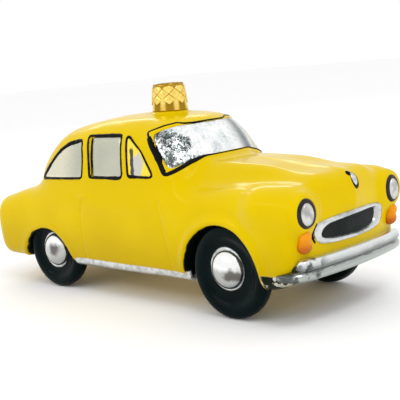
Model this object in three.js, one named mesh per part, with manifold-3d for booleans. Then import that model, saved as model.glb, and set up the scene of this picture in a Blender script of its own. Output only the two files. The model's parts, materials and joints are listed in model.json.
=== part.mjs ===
// A mouth-blown glass car ornament: a hollow glass saloon car with its wheels,
// lamps, grille and bumpers painted on moulded relief, a crown cap over the neck
// on its roof, and a spring-wire hanger inside the cap.
// Millimetres, +Z up. +X is the car's nose, the origin is under the middle of
// the car at the height of the tyre contact. Left is +Y.
import * as THREE from 'three';
import { mergeVertices } from 'three/addons/utils/BufferGeometryUtils.js';
import Module from 'manifold-3d';

const wasm = await Module();
wasm.setup();

// ---------------------------------------------------------------- dimensions
const GAP = 0.3;                 // clearance between neighbouring pieces
const WALL = 1.6;                // glass wall
const PAINT = 0.6;               // thickness of an inlaid painted panel
const FINE = { around: 30, stations: 17, ends: [[0.32, 1], [0.6, 1], [0.83, 1], [0.96, 1], [1, 0.96], [1, 0.82], [1, 0.6], [1, 0.3]] };
const COARSE = { around: 24, stations: 15, ends: [[0.45, 1], [0.8, 1], [0.96, 1], [1, 0.9], [1, 0.5]] };

// x, half width, crown height, shoulder height, belly height
const PROFILE = [
  [-64, 21.5, 26.6, 26.8, 8.6],
  [-58, 21.5, 27.4, 27.6, 8.4],
  [-50, 21.3, 30.1, 29.4, 8.2],
  [-40, 21.2, 33.1, 31.0, 8.1],
  [-26, 21.2, 34.6, 32.1, 8.2],
  [-12, 21.1, 35.0, 32.1, 8.3],
  [4, 21.2, 35.5, 32.0, 8.4],
  [18, 21.4, 37.2, 32.2, 8.5],
  [30, 21.7, 38.0, 32.4, 8.5],
  [42, 22.2, 37.4, 33.3, 8.4],
  [52, 22.6, 35.9, 33.9, 8.5],
  [60, 22.5, 35.1, 33.4, 9.7],
  [65, 22.4, 33.7, 30.8, 10.7],
];
const NOSE_X = 63.05;            // front of the body on the centre line
const TAIL_X = -64.0;            // back of the body on the centre line
const ROOF_Z = 51.05;            // highest point of the roof

const TYRE_R = 12.0;
const TYRE_W = 5.5;
const FRONT_AXLE = { x: 39.2, face: 21.0, hubX: 39.0, hubZ: 12.75 };
const REAR_AXLE = { x: -33.8, face: 18.9, hubX: -33.5, hubZ: 11.85 };
const ARCH_FRONT = { x: 37.0, z: 10.8, r: 13.0, inner: 14.9, well: 12.5 };
const ARCH_REAR = { x: -36.2, z: 6.4, r: 11.85, inner: 12.7, skin: 19.35, well: 12.9 };

const LAMP = { x: 62.9, y: 18.1, z: 27.75, rim: 3.4, lens: 2.6, pod: 4.7 };
const INDICATOR = { x: 60.9, y: 18.2, z: 20.5, r: 1.9 };
const BUMPER = { x: 64.9, end: 22.9, z: 14.1 };

const NECK = { x: 2.3, outer: 3.7, bore: 3.1, top: 57.2 };
const CAP = { base: 51.45, height: 7.4, bottom: 5.2, top: 4.45, sheet: 0.45, flutes: 14 };
const WIRE_R = 0.35;
const LOOP_R = 2.2;

// ---------------------------------------------------------------- body surface
// Blown glass has no sharp edges: the body is the smooth meeting of a few curved
// walls, written as a field that is negative inside the car.
const smax = (a, b, k) => {
  const h = Math.min(1, Math.max(0, 0.5 + 0.5 * (a - b) / k));
  return b * (1 - h) + a * h + k * h * (1 - h);
};
const smin = (a, b, k) => -smax(-a, -b, k);

function curveTable(xs, ys) {
  const n = xs.length, d = [], m = [];
  for (let i = 0; i < n - 1; i++) d.push((ys[i + 1] - ys[i]) / (xs[i + 1] - xs[i]));
  m.push(d[0]);
  for (let i = 1; i < n - 1; i++) {
    const a = xs[i] - xs[i - 1], b = xs[i + 1] - xs[i];
    m.push((d[i - 1] * b + d[i] * a) / (a + b));
  }
  m.push(d[n - 2]);
  return (x) => {
    const X = Math.min(xs[n - 1], Math.max(xs[0], x));
    let i = 0;
    while (i < n - 2 && X >= xs[i + 1]) i++;
    const h = xs[i + 1] - xs[i], t = (X - xs[i]) / h, t2 = t * t, t3 = t2 * t;
    return (2 * t3 - 3 * t2 + 1) * ys[i] + (t3 - 2 * t2 + t) * h * m[i]
      + (-2 * t3 + 3 * t2) * ys[i + 1] + (t3 - t2) * h * m[i + 1];
  };
}
const xs = PROFILE.map((r) => r[0]);
const halfWidth = curveTable(xs, PROFILE.map((r) => r[1]));
const crown = curveTable(xs, PROFILE.map((r) => r[2]));
const shoulder = curveTable(xs, PROFILE.map((r) => r[3]));
const belly = curveTable(xs, PROFILE.map((r) => r[4]));
const spineHeight = curveTable([-60, -40, -18, 4, 24, 48, 64], [19, 20, 26, 27, 22, 20, 20]);

function lowerBody(x, y, z) {
  const a = Math.sqrt(y * y + 0.01), w = halfWidth(x);
  const side = a - (w - 1.5 * ((z - 18) / 13) ** 2);
  const u = Math.min(1, Math.max(0, (a - 8) / 9)), s = u * u * (3 - 2 * u);
  const top = z - (crown(x) + (shoulder(x) - crown(x)) * s - 0.004 * Math.max(a - 14, 0) ** 2);
  const front = x - (NOSE_X - 0.0055 * y * y - 0.0081 * (z - 24) ** 2);
  const rear = -x - (-TAIL_X - 0.0034 * y * y - 0.0072 * (z - 21) ** 2);
  let f = smax(side, top, 5.5);
  f = smax(f, belly(x) - z, 3.5);
  f = smax(f, front, 3.5);
  return smax(f, rear, 6.5);
}

function cabin(x, y, z) {
  const a = Math.abs(y), h = Math.max(z - 34.5, 0), r = Math.max(z - 34, 0);
  const side = (a - (20.06 - 0.159 * h - 0.0052 * h * h)) * 0.97 + 0.0008 * (x + 4.6) ** 2;
  const roof = z - (ROOF_Z - 0.0045 * (x + 3.3) ** 2 - 0.0065 * y * y);
  const front = (x - (26.3 - 0.644 * (z - 36) - 0.016 * y * y)) * 0.85;
  const rear = (-x - (46.0 - 0.426 * (z - 34) - 0.02 * r * r - 0.019 * y * y)) * 0.75;
  let f = smax(side, roof, 6);
  f = smax(f, front, 4.5);
  f = smax(f, rear, 6.5);
  return smax(f, 26 - z, 2);
}

const bodyField = (x, y, z) => smin(lowerBody(x, y, z), cabin(x, y, z), 3);

// ---------------------------------------------------------------- helpers
function indexed(points, triangles) {
  const g = new THREE.BufferGeometry();
  g.setAttribute('position', new THREE.Float32BufferAttribute(points.flat(), 3));
  g.setIndex(triangles.flat());
  return g;
}

function toSolid(geometry) {
  let g = geometry.clone();
  g.deleteAttribute('normal');
  g.deleteAttribute('uv');
  g = mergeVertices(g, 1e-5);
  return new wasm.Manifold(new wasm.Mesh({
    numProp: 3,
    vertProperties: new Float32Array(g.attributes.position.array),
    triVerts: new Uint32Array(g.index.array),
  }));
}

function toGeometry(solid) {
  const m = solid.getMesh(), p = [];
  for (let i = 0; i < m.numVert; i++) p.push([...m.vertProperties.slice(i * m.numProp, i * m.numProp + 3)]);
  return indexed(p, [Array.from(m.triVerts)]);
}

// Closed skin over rings of points, closed at both ends by a single point.
function skin(rings, first, last) {
  const n = rings[0].length, points = [first, ...rings.flat(), last], tris = [];
  const at = (i, j) => 1 + i * n + (j % n);
  for (let j = 0; j < n; j++) tris.push([0, at(0, j + 1), at(0, j)]);
  for (let i = 0; i + 1 < rings.length; i++)
    for (let j = 0; j < n; j++)
      tris.push([at(i, j), at(i, j + 1), at(i + 1, j)], [at(i, j + 1), at(i + 1, j + 1), at(i + 1, j)]);
  const end = points.length - 1, k = rings.length - 1;
  for (let j = 0; j < n; j++) tris.push([end, at(k, j), at(k, j + 1)]);
  return indexed(points, tris);
}

// Faces outward whichever way round the rings were given.
function outward(geometry) {
  const p = geometry.attributes.position, id = geometry.index.array;
  let v = 0;
  const a = new THREE.Vector3(), b = new THREE.Vector3(), c = new THREE.Vector3();
  for (let i = 0; i < id.length; i += 3) {
    a.fromBufferAttribute(p, id[i]); b.fromBufferAttribute(p, id[i + 1]); c.fromBufferAttribute(p, id[i + 2]);
    v += a.dot(b.cross(c));
  }
  if (v < 0) for (let i = 0; i < id.length; i += 3) [id[i + 1], id[i + 2]] = [id[i + 2], id[i + 1]];
  return geometry;
}

// Walks inwards along a ray until it meets the surface at this depth of the field.
function surfaceAt(o, d, level) {
  const f = (t) => bodyField(o[0] + d[0] * t, o[1] + d[1] * t, o[2] + d[2] * t) - level;
  let hi = 62, lo = hi - 1;
  while (lo > 0.5 && f(lo) > 0) { hi = lo; lo -= 1; }
  for (let i = 0; i < 26; i++) { const m = (lo + hi) / 2; if (f(m) > 0) hi = m; else lo = m; }
  return [o[0] + d[0] * lo, o[1] + d[1] * lo, o[2] + d[2] * lo];
}

// The body at one depth: rays fan out from a spine, and at each end they fan
// over a box, so that the rings follow the edges of the nose and tail.
function bodySolid(level, { around, stations, ends } = FINE) {
  const x0 = -44, x1 = 48, rings = [];
  const angle = (j) => (2 * Math.PI * j) / around;
  const ring = (x) => {
    const o = [x, 0, spineHeight(x)];
    return Array.from({ length: around }, (_, j) => surfaceAt(o, [0, Math.sin(angle(j)), Math.cos(angle(j))], level));
  };
  const endRings = (x, length) => {
    const o = [x, 0, spineHeight(x)], edge = ring(x);
    const out = ends.map(([s, t]) => edge.map((e) => {
      const v = [length * s, (e[1] - o[1]) * t, (e[2] - o[2]) * t], l = Math.hypot(...v);
      return surfaceAt(o, v.map((c) => c / l), level);
    }));
    return { out, pole: surfaceAt(o, [Math.sign(length), 0, 0], level) };
  };
  const tail = endRings(x0, TAIL_X - x0), nose = endRings(x1, NOSE_X - x1);
  rings.push(...tail.out.reverse());
  for (let i = 0; i < stations; i++) rings.push(ring(x0 + ((x1 - x0) * i) / (stations - 1)));
  rings.push(...nose.out);
  return toSolid(outward(skin(rings, tail.pole, nose.pole)));
}

// Polygon grown or shrunk by d, each corner moved along its two edges' normals.
function offsetOutline(pts, d) {
  const n = pts.length;
  let area = 0;
  for (let i = 0; i < n; i++) { const [a, b] = pts[i], [c, e] = pts[(i + 1) % n]; area += a * e - b * c; }
  const s = area > 0 ? 1 : -1;
  return pts.map((p, i) => {
    const q = pts[(i + n - 1) % n], r = pts[(i + 1) % n];
    const u = [p[0] - q[0], p[1] - q[1]], v = [r[0] - p[0], r[1] - p[1]];
    const lu = Math.hypot(...u), lv = Math.hypot(...v);
    const nu = [s * u[1] / lu, -s * u[0] / lu], nv = [s * v[1] / lv, -s * v[0] / lv];
    const b = [nu[0] + nv[0], nu[1] + nv[1]], k = Math.max(0.6, (b[0] ** 2 + b[1] ** 2) / 2);
    return [p[0] + (b[0] * d) / k, p[1] + (b[1] * d) / k];
  });
}

// Solid prism: outline coordinates run along U and V, the depth along W.
function prism(outline, U, V, W, from, to) {
  const shape = new THREE.Shape(outline.map(([a, b]) => new THREE.Vector2(a, b)));
  const g = new THREE.ExtrudeGeometry(shape, { depth: to - from, bevelEnabled: false });
  g.translate(0, 0, from);
  g.applyMatrix4(new THREE.Matrix4().makeBasis(new THREE.Vector3(...U), new THREE.Vector3(...V), new THREE.Vector3(...W)));
  const flip = new THREE.Vector3(...U).cross(new THREE.Vector3(...V)).dot(new THREE.Vector3(...W)) < 0;
  const h = mergeOnly(g);
  return toSolid(flip ? outward(h) : h);
}
function mergeOnly(g) { g.deleteAttribute('normal'); g.deleteAttribute('uv'); return mergeVertices(g, 1e-5); }

const ellipse = (cu, cv, ru, rv, n = 16) => Array.from({ length: n }, (_, i) => {
  const t = (2 * Math.PI * i) / n;
  return [cu + ru * Math.cos(t), cv + rv * Math.sin(t)];
});
const X = [1, 0, 0], Y = [0, 1, 0], Z = [0, 0, 1];

// Turned piece: profile of [radius, depth] from axis to axis, or a closed ring.
// The depth runs along +W from the given point.
function turned(profile, segments, origin, W, phase = 0) {
  const w = new THREE.Vector3(...W), u = Math.abs(w.z) > 0.9 ? new THREE.Vector3(1, 0, 0) : new THREE.Vector3(0, 0, 1);
  const v = new THREE.Vector3().crossVectors(w, u);
  const at = (r, h, j) => {
    const t = phase + (2 * Math.PI * j) / segments;
    return new THREE.Vector3(...origin).addScaledVector(w, h).addScaledVector(u, r * Math.cos(t)).addScaledVector(v, r * Math.sin(t)).toArray();
  };
  const solidRings = profile.filter(([r]) => r > 0);
  const rings = solidRings.map(([r, h]) => Array.from({ length: segments }, (_, j) => at(r, h, j)));
  if (profile[0][0] === 0) {
    const first = at(0, profile[0][1], 0), last = at(0, profile[profile.length - 1][1], 0);
    return outward(skin(rings, first, last));
  }
  const points = rings.flat(), tris = [], n = segments, m = rings.length;
  const id = (i, j) => (i % m) * n + (j % n);
  for (let i = 0; i < m; i++)
    for (let j = 0; j < n; j++)
      tris.push([id(i, j), id(i, j + 1), id(i + 1, j)], [id(i, j + 1), id(i + 1, j + 1), id(i + 1, j)]);
  return outward(indexed(points, tris));
}

// ---------------------------------------------------------------- finishes
const finish = (color, roughness, metalness) => new THREE.MeshStandardMaterial({ color, roughness, metalness });
const yellow = finish(0xf2cf00, 0.22, 0);
const silver = finish(0xc9ccd0, 0.3, 0.85);
const mirror = finish(0xb9b5a4, 0.25, 0.8);
const black = finish(0x0c1517, 0.28, 0);
const orange = finish(0xe8780c, 0.35, 0);
const red = finish(0xb01818, 0.35, 0);
const gold = finish(0xd9a928, 0.3, 1);

const car = new THREE.Group();
function add(name, shape, material) {
  const mesh = new THREE.Mesh(shape instanceof THREE.BufferGeometry ? shape : toGeometry(shape), material);
  mesh.name = name;
  car.add(mesh);
  return mesh;
}

// ---------------------------------------------------------------- glass body
const outer = bodySolid(0);
const panelBack = bodySolid(-PAINT);
const pocketFloor = bodySolid(-PAINT - GAP);
const inside = bodySolid(-WALL, COARSE);
const clearOf = bodySolid(GAP);
const proud = bodySolid(0.8);

const flatPanel = outer.subtract(panelBack);        // a skin level with the glass
const raisedPanel = proud.subtract(panelBack);      // a skin that stands proud of it

const pockets = [];
function inlay(name, layer, outline, U, V, W, from, to, material, cutout) {
  let shape = layer.intersect(prism(offsetOutline(outline, -GAP / 2), U, V, W, from, to));
  if (cutout) shape = shape.subtract(prism(offsetOutline(cutout, GAP / 2), U, V, W, from - 5, to + 5));
  pockets.push(prism(offsetOutline(outline, GAP / 2), U, V, W, from, to));
  add(name, shape, material);
}

// Windows. The side outlines are x and z, the screens' are y and z.
const QUARTER = [[-38.0, 33.5], [-34.8, 36.2], [-31.0, 39.3], [-27.3, 42.2], [-23.6, 44.1], [-17.4, 45.1], [-16.5, 39.4], [-16.4, 34.2], [-26.0, 33.8]];
const DOOR = [[-14.8, 46.0], [-0.3, 46.1], [1.2, 35.3], [0.2, 34.6], [-13.0, 34.5]];
const VENT = [[1.9, 45.9], [3.2, 45.7], [8.3, 42.0], [13.2, 35.7], [12.4, 35.0], [3.6, 35.1]];
const mirrored = (half) => [...half, ...half.filter(([y]) => y !== 0).reverse().map(([y, z]) => [-y, z])];
const WINDSCREEN = mirrored([[0, 48.3], [9, 48.1], [13.6, 47.5], [15.7, 46.4], [17.2, 42], [18.7, 36.3], [15.3, 37.4], [10, 38.8], [0, 39.6]]);
const REAR_WINDOW = mirrored([[0, 43.9], [8, 43.7], [11.2, 43.0], [13.6, 37.6], [12.8, 36.6], [0, 36.2]]);

for (const [side, s] of [['left', 1], ['right', -1]]) {
  const reach = s > 0 ? [12, 30] : [-30, -12];
  inlay(`quarter_window_${side}`, flatPanel, QUARTER, X, Z, Y, ...reach, mirror);
  inlay(`door_window_${side}`, flatPanel, DOOR, X, Z, Y, ...reach, mirror);
  inlay(`vent_window_${side}`, flatPanel, VENT, X, Z, Y, ...reach, mirror);
}
inlay('windscreen', flatPanel, WINDSCREEN, Y, Z, X, 6.5, 30, silver);
inlay('rear_window', flatPanel, REAR_WINDOW, Y, Z, X, -55, -30, mirror);

// Grille: a raised frame round a dark mouth.
const SURROUND = mirrored([[0, 25.3], [13.0, 25.3], [14.1, 23.3], [13.2, 20.6], [11.8, 19.3], [0, 19.1]]);
const MOUTH = mirrored([[0, 24.2], [11.4, 24.2], [12.0, 23.2], [10.6, 21.2], [8.6, 20.4], [0, 20.2]]);
inlay('grille_surround', raisedPanel, SURROUND, Y, Z, X, 54, 70, silver, MOUTH);
add('grille_mouth', flatPanel.intersect(prism(offsetOutline(MOUTH, -GAP / 2), Y, Z, X, 54, 70)), black);

// Badge on the edge where the bonnet turns into the nose, square to that edge.
const lean = THREE.MathUtils.degToRad(38);
const badgeOut = [Math.cos(lean), 0, Math.sin(lean)], badgeUp = [-Math.sin(lean), 0, Math.cos(lean)];
const badgeV = 62.2 * badgeUp[0] + 33.3 * badgeUp[2], badgeW = 62.2 * badgeOut[0] + 33.3 * badgeOut[2];
inlay('bonnet_badge', raisedPanel, ellipse(0, badgeV, 1.4, 2.3), Y, badgeUp, badgeOut, badgeW - 3, badgeW + 3, silver);

// Tail lamps, small ovals low on the back corners.
for (const [side, s] of [['left', 1], ['right', -1]])
  inlay(`tail_lamp_${side}`, raisedPanel, ellipse(s * 15.4, 22.0, 1.6, 2.3), Y, Z, X, -70, -56, red);

// Door handles.
for (const [side, s] of [['left', 1], ['right', -1]])
  inlay(`door_handle_${side}`, raisedPanel, ellipse(-15.4, 29.2, 2.0, 0.8, 12), X, Z, Y, ...(s > 0 ? [15, 30] : [-30, -15]), yellow);

// Wheel openings, cut right through the skin with a glass-walled well behind.
const wells = [], wellWalls = [];
for (const s of [1, -1]) {
  const well = (profile, c) => toSolid(turned(profile, 36, c, [0, s, 0], Math.PI / 36));
  const disc = (r, a, b) => [[0, a], [r, a], [r, b], [0, b]];
  const f = ARCH_FRONT, r = ARCH_REAR;
  wells.push(well(disc(f.r, f.inner, 30), [f.x, 0, f.z]));
  wells.push(well(disc(f.well, f.inner, 30), [FRONT_AXLE.x, 0, TYRE_R]));
  wellWalls.push(well(disc(f.r + WALL, f.inner - WALL, 30), [f.x, 0, f.z]));
  wellWalls.push(well(disc(f.well + WALL, f.inner - WALL, 30), [FRONT_AXLE.x, 0, TYRE_R]));
  wells.push(well(disc(r.well, r.inner, r.skin), [REAR_AXLE.x, 0, TYRE_R]));
  wells.push(well(disc(r.r, r.inner, 30), [r.x, 0, r.z]));
  wellWalls.push(well(disc(r.well + WALL, r.inner - WALL, 30), [REAR_AXLE.x, 0, TYRE_R]));
}

// Silvered sills along the bottom edge between the wheels.
const SILL = [[-20.2, 5], [24.6, 5], [24.6, 9.9], [-20.2, 9.9]];
for (const [side, s] of [['left', 1], ['right', -1]])
  inlay(`sill_${side}`, flatPanel, SILL, X, Z, Y, ...(s > 0 ? [16.5, 30] : [-30, -16.5]), silver);

// Headlamp pods moulded on the front of the wings.
function lampPod(s, grow = 0) {
  const r = LAMP.pod + grow;
  const profile = [[0, -14], [3.0, -14], [4.2, -8], [r, -2.5], [r, -0.9], [r - 0.6, -0.1 + grow], [r - 1.2, grow], [0, grow]];
  return toSolid(turned(profile, 24, [LAMP.x, s * LAMP.y, LAMP.z], X));
}
let glass = outer;
for (const s of [1, -1]) glass = glass.add(lampPod(s));
const neckProfile = [[0, 47], [NECK.outer + 1.6, 47], [NECK.outer + 0.5, ROOF_Z - 0.35], [NECK.outer, ROOF_Z + 0.2], [NECK.outer, NECK.top - 0.3], [NECK.outer - 0.25, NECK.top], [0, NECK.top]];
glass = glass.add(toSolid(turned(neckProfile, 28, [NECK.x, 0, 0], Z)));
let hollow = inside;
for (const w of wellWalls) hollow = hollow.subtract(w);
glass = glass.subtract(hollow);
for (const w of wells) glass = glass.subtract(w);
for (const p of pockets) glass = glass.subtract(p.subtract(pocketFloor));
glass = glass.subtract(toSolid(turned([[0, 40], [NECK.bore, 40], [NECK.bore, 70], [0, 70]], 28, [NECK.x, 0, 0], Z)));
add('glass_shell', glass, yellow);

// ---------------------------------------------------------------- lamps
for (const [side, s] of [['left', 1], ['right', -1]]) {
  const c = [LAMP.x + GAP, s * LAMP.y, LAMP.z];
  add(`headlight_rim_${side}`, turned([[LAMP.lens + GAP, 0], [LAMP.rim, 0], [LAMP.rim, 0.6], [LAMP.rim - 0.3, 1.0], [LAMP.lens + GAP, 0.8]], 20, c, X), black);
  add(`headlight_lens_${side}`, turned([[0, 0], [LAMP.lens, 0], [LAMP.lens, 0.5], [LAMP.lens * 0.7, 1.0], [LAMP.lens * 0.35, 1.2], [0, 1.3]], 20, c, X), silver);
  const ball = (z, r) => {
    const g = mergeOnly(new THREE.SphereGeometry(r, 14, 9));
    g.translate(INDICATOR.x, s * INDICATOR.y, z);
    return toSolid(g);
  };
  const blob = ball(INDICATOR.z, INDICATOR.r).add(ball(INDICATOR.z + 2.4, 1.2)).subtract(clearOf).subtract(lampPod(s, GAP));
  add(`indicator_${side}`, blob, orange);
}

// ---------------------------------------------------------------- bumpers
// A grooved bar whose plan curve follows the end of the body.
function bumper(sign, reachX, halfSpan, wrap, z, height) {
  const h = height / 2, stations = 17;
  const section = [[0.0, h], [-0.9, h * 0.92], [-1.2, h * 0.45], [-0.55, h * 0.12], [-1.15, -h * 0.25], [-0.9, -h * 0.85], [0.1, -h], [3.6, -h * 0.95], [3.6, h * 0.95]];
  const rings = [];
  for (let i = 0; i < stations; i++) {
    const t = -1 + (2 * i) / (stations - 1), y = halfSpan * Math.sin(t * Math.PI / 2);
    const u = Math.abs(y) / halfSpan;
    const x = reachX - 1.2 - 0.0038 * y * y - wrap * u ** 9;
    rings.push(section.map(([d, e]) => [sign * (x - d), y, z + e]));
  }
  const mid = (r) => r[0].map((_, k) => r.reduce((a, p) => a + p[k], 0) / r.length);
  return toSolid(outward(skin(rings, mid(rings[0]), mid(rings[stations - 1])))).subtract(clearOf);
}
add('front_bumper', bumper(1, BUMPER.x, BUMPER.end, 3.4, BUMPER.z, 5.5), silver);
add('rear_bumper', bumper(-1, BUMPER.x, 16.5, 0.6, 13.2, 4.4), silver);

// ---------------------------------------------------------------- wheels
const SEG = 28, flat = 1 / Math.cos(Math.PI / SEG);
for (const [axle, a] of [['front', FRONT_AXLE], ['rear', REAR_AXLE]]) {
  for (const [side, s] of [['left', 1], ['right', -1]]) {
    const o = [a.x, s * (a.face - TYRE_W), TYRE_R], out = [0, s, 0];
    const tread = TYRE_R * flat;
    add(`tyre_${axle}_${side}`, turned([[0, 0.5], [10.0, 0], [tread, 1.6], [tread, 3.6], [tread - 0.8, 4.9], [9.8, 5.5], [7.4, 4.5], [7.2, 3.8], [0, 3.8]], SEG, o, out, Math.PI / SEG), black);
    const hub = [a.hubX, s * (a.face - TYRE_W), a.hubZ];
    add(`hub_ring_${axle}_${side}`, turned([[5.05, 4.1], [5.95, 4.1], [5.95, 4.8], [5.6, 5.2], [5.05, 5.0]], 20, hub, out), silver);
    add(`hub_dome_${axle}_${side}`, turned([[0, 4.1], [4.75, 4.1], [4.75, 5.0], [4.2, 6.2], [3.1, 7.1], [1.7, 7.6], [0, 7.75]], 20, hub, out), silver);
  }
}

// ---------------------------------------------------------------- cap and hanger
// Crown cap: thin fluted metal, recessed top with a slot for the wire.
{
  const n = CAP.flutes * 2, rings = [];
  const ring = (r, z, flute) => Array.from({ length: n }, (_, j) => {
    const t = (2 * Math.PI * j) / n, R = r + (j % 2 ? flute : 0);
    return [NECK.x + R * Math.cos(t), R * Math.sin(t), CAP.base + z];
  });
  const H = CAP.height, t = CAP.sheet, b = CAP.bottom, k = CAP.top;
  rings.push(ring(k - 1.0, H - 0.7, 0), ring(k - 0.55, H, 0), ring(k - 0.1, H - 0.1, 0));
  rings.push(ring((b + k) / 2, H / 2, -0.12), ring(b - 0.05, 0.8, -0.18), ring(b, 0, -0.1));
  rings.push(ring(b - t, 0, -0.1), ring(b - t - 0.05, 0.8, -0.18), ring((b + k) / 2 - t, H / 2, -0.12), ring(k - t - 0.3, H - 0.7 - t, 0));
  const shell = toSolid(outward(skin(rings, [NECK.x, 0, CAP.base + H - 0.7], [NECK.x, 0, CAP.base + H - 0.7 - t])));
  const slot = [[-2.95, -0.7], [2.95, -0.7], [2.95, 0.7], [-2.95, 0.7]].map(([a, c]) => [a + NECK.x, c]);
  add('crown_cap', shell.subtract(prism(slot, X, Y, Z, 54, 70)), gold);
}

// Spring wire: a round loop with two legs that spread inside the neck.
{
  const top = CAP.base + CAP.height + 0.1, c = top - WIRE_R - LOOP_R, pts = [];
  pts.push([-2.3, c - 13], [-2.0, c - 9], [-1.0, c - 4.6], [-0.55, c - 3.2]);
  for (let i = 0; i <= 12; i++) {
    const t = -Math.PI / 2 - 0.32 - ((2 * Math.PI - 0.64) * i) / 12;
    pts.push([LOOP_R * Math.cos(t), c + LOOP_R * Math.sin(t)]);
  }
  pts.push([0.55, c - 3.2], [1.0, c - 4.6], [2.0, c - 9], [2.3, c - 13]);
  const path = new THREE.CatmullRomCurve3(pts.map(([a, z]) => new THREE.Vector3(NECK.x + a, 0, z)));
  const round = new THREE.Shape(ellipse(0, 0, WIRE_R, WIRE_R, 6).map(([a, b]) => new THREE.Vector2(a, b)));
  add('hanger_wire', outward(mergeOnly(new THREE.ExtrudeGeometry(round, { steps: 44, bevelEnabled: false, extrudePath: path }))), gold);
}

export default car;
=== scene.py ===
# %% [markdown]
# # A blown-glass car ornament
# The object is one hollow glass bubble, blown into a mould shaped like a small
# saloon car, silvered inside and painted by hand outside. A crown cap of thin
# gold metal covers the neck on its roof, and a spring wire sits inside the cap.
# The CAD model is loaded first and stays as the frame: every piece made here
# goes where the CAD says and rides on one of its bodies.

# %% Load the CAD frame
import json
import math

import bpy
import numpy as np
from mathutils import Matrix, Vector

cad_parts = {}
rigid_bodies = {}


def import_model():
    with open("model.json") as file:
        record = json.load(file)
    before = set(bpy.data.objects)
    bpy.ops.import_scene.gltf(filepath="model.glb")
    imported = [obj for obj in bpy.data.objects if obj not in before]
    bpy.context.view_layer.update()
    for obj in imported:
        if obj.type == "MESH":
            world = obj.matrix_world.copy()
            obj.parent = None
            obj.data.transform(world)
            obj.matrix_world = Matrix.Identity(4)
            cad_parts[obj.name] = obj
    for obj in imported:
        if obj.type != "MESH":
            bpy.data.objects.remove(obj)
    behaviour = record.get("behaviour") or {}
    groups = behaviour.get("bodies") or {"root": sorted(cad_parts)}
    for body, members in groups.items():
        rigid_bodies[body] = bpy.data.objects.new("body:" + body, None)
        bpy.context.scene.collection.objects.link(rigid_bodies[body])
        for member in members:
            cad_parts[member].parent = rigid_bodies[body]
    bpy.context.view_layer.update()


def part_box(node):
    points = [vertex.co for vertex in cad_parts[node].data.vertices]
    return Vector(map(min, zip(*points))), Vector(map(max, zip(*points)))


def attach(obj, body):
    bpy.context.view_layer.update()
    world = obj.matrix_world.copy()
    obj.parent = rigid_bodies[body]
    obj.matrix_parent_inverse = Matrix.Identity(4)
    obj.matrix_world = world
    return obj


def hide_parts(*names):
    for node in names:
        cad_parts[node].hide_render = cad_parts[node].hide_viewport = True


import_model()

MM = 0.001
GLASS, CAP, HANGER = "glass_car", "cap", "hanger"

# %% [markdown]
# ## The camera
# A portrait lens from the front right corner, a little above the car and tipped
# by a few degrees. The camera comes first because everything is judged from it.
# It could be aimed with a Track To constraint. Here its three axes are worked
# out from two angles and a roll and go straight into the object's matrix, so
# that nothing else has to exist for it to point the right way.

# %% Camera
AZIMUTH, ELEVATION, ROLL = math.radians(44.75), math.radians(8.79), math.radians(-5.27)
TARGET = Vector((10.4, 0.43, 25.4)) * MM
DISTANCE = 257.1 * MM
LENS = 81.1

back = Vector((math.sin(AZIMUTH) * math.cos(ELEVATION),
               -math.cos(AZIMUTH) * math.cos(ELEVATION), math.sin(ELEVATION)))
right = Vector((0, 0, 1)).cross(back).normalized()
up = back.cross(right)
right, up = (math.cos(ROLL) * right + math.sin(ROLL) * up,
             math.cos(ROLL) * up - math.sin(ROLL) * right)
lens = bpy.data.cameras.new("camera")
lens.lens, lens.sensor_width = LENS, 36
lens.clip_start, lens.clip_end = 0.01, 10
camera = bpy.data.objects.new("camera", lens)
camera.matrix_world = Matrix.Translation(TARGET + back * DISTANCE) @ Matrix(
    (right, up, back)).transposed().to_4x4()
bpy.context.scene.collection.objects.link(camera)
bpy.context.scene.camera = camera
print("camera at", [round(c / MM, 1) for c in camera.matrix_world.translation], "mm")

# %% [markdown]
# ## Writing node trees as Python
# Shader and geometry trees could be written out node by node and link by link,
# but a formula is lost in that. They are easier to read as expressions. `Sock`
# wraps one output socket, and arithmetic on it adds Math nodes. Every other
# node comes from `Tree.node`, which takes the node's type, its settings, and
# what its sockets hold.

# %% Node helpers
class Sock:
    """One output of a node tree; arithmetic on it adds Math nodes."""

    def __init__(self, tree, socket):
        self.tree, self.socket = tree, socket

    def math(self, operation, *values):
        return self.tree.node("ShaderNodeMath", {"operation": operation}, list(values))

    def __add__(self, other): return self.math("ADD", self, other)
    def __radd__(self, other): return self.math("ADD", other, self)
    def __sub__(self, other): return self.math("SUBTRACT", self, other)
    def __rsub__(self, other): return self.math("SUBTRACT", other, self)
    def __mul__(self, other): return self.math("MULTIPLY", self, other)
    def __rmul__(self, other): return self.math("MULTIPLY", other, self)
    def __truediv__(self, other): return self.math("DIVIDE", self, other)
    def __rtruediv__(self, other): return self.math("DIVIDE", other, self)
    def __pow__(self, other): return self.math("POWER", self, other)
    def __neg__(self): return self.math("MULTIPLY", self, -1.0)
    def __abs__(self): return self.math("ABSOLUTE", self)
    def most(self, other): return self.math("MAXIMUM", self, other)
    def root(self): return self.math("SQRT", self)
    def sine(self): return self.math("SINE", self)
    def cosine(self): return self.math("COSINE", self)

    def ramp(self, low, high):
        """0 below low, 1 above high, smooth between; falls if low > high."""
        a, b, start, end = (low, high, 0.0, 1.0) if low < high else (high, low, 1.0, 0.0)
        return self.tree.node("ShaderNodeMapRange", {"interpolation_type": "SMOOTHSTEP"},
                              [self, a, b, start, end])


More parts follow.
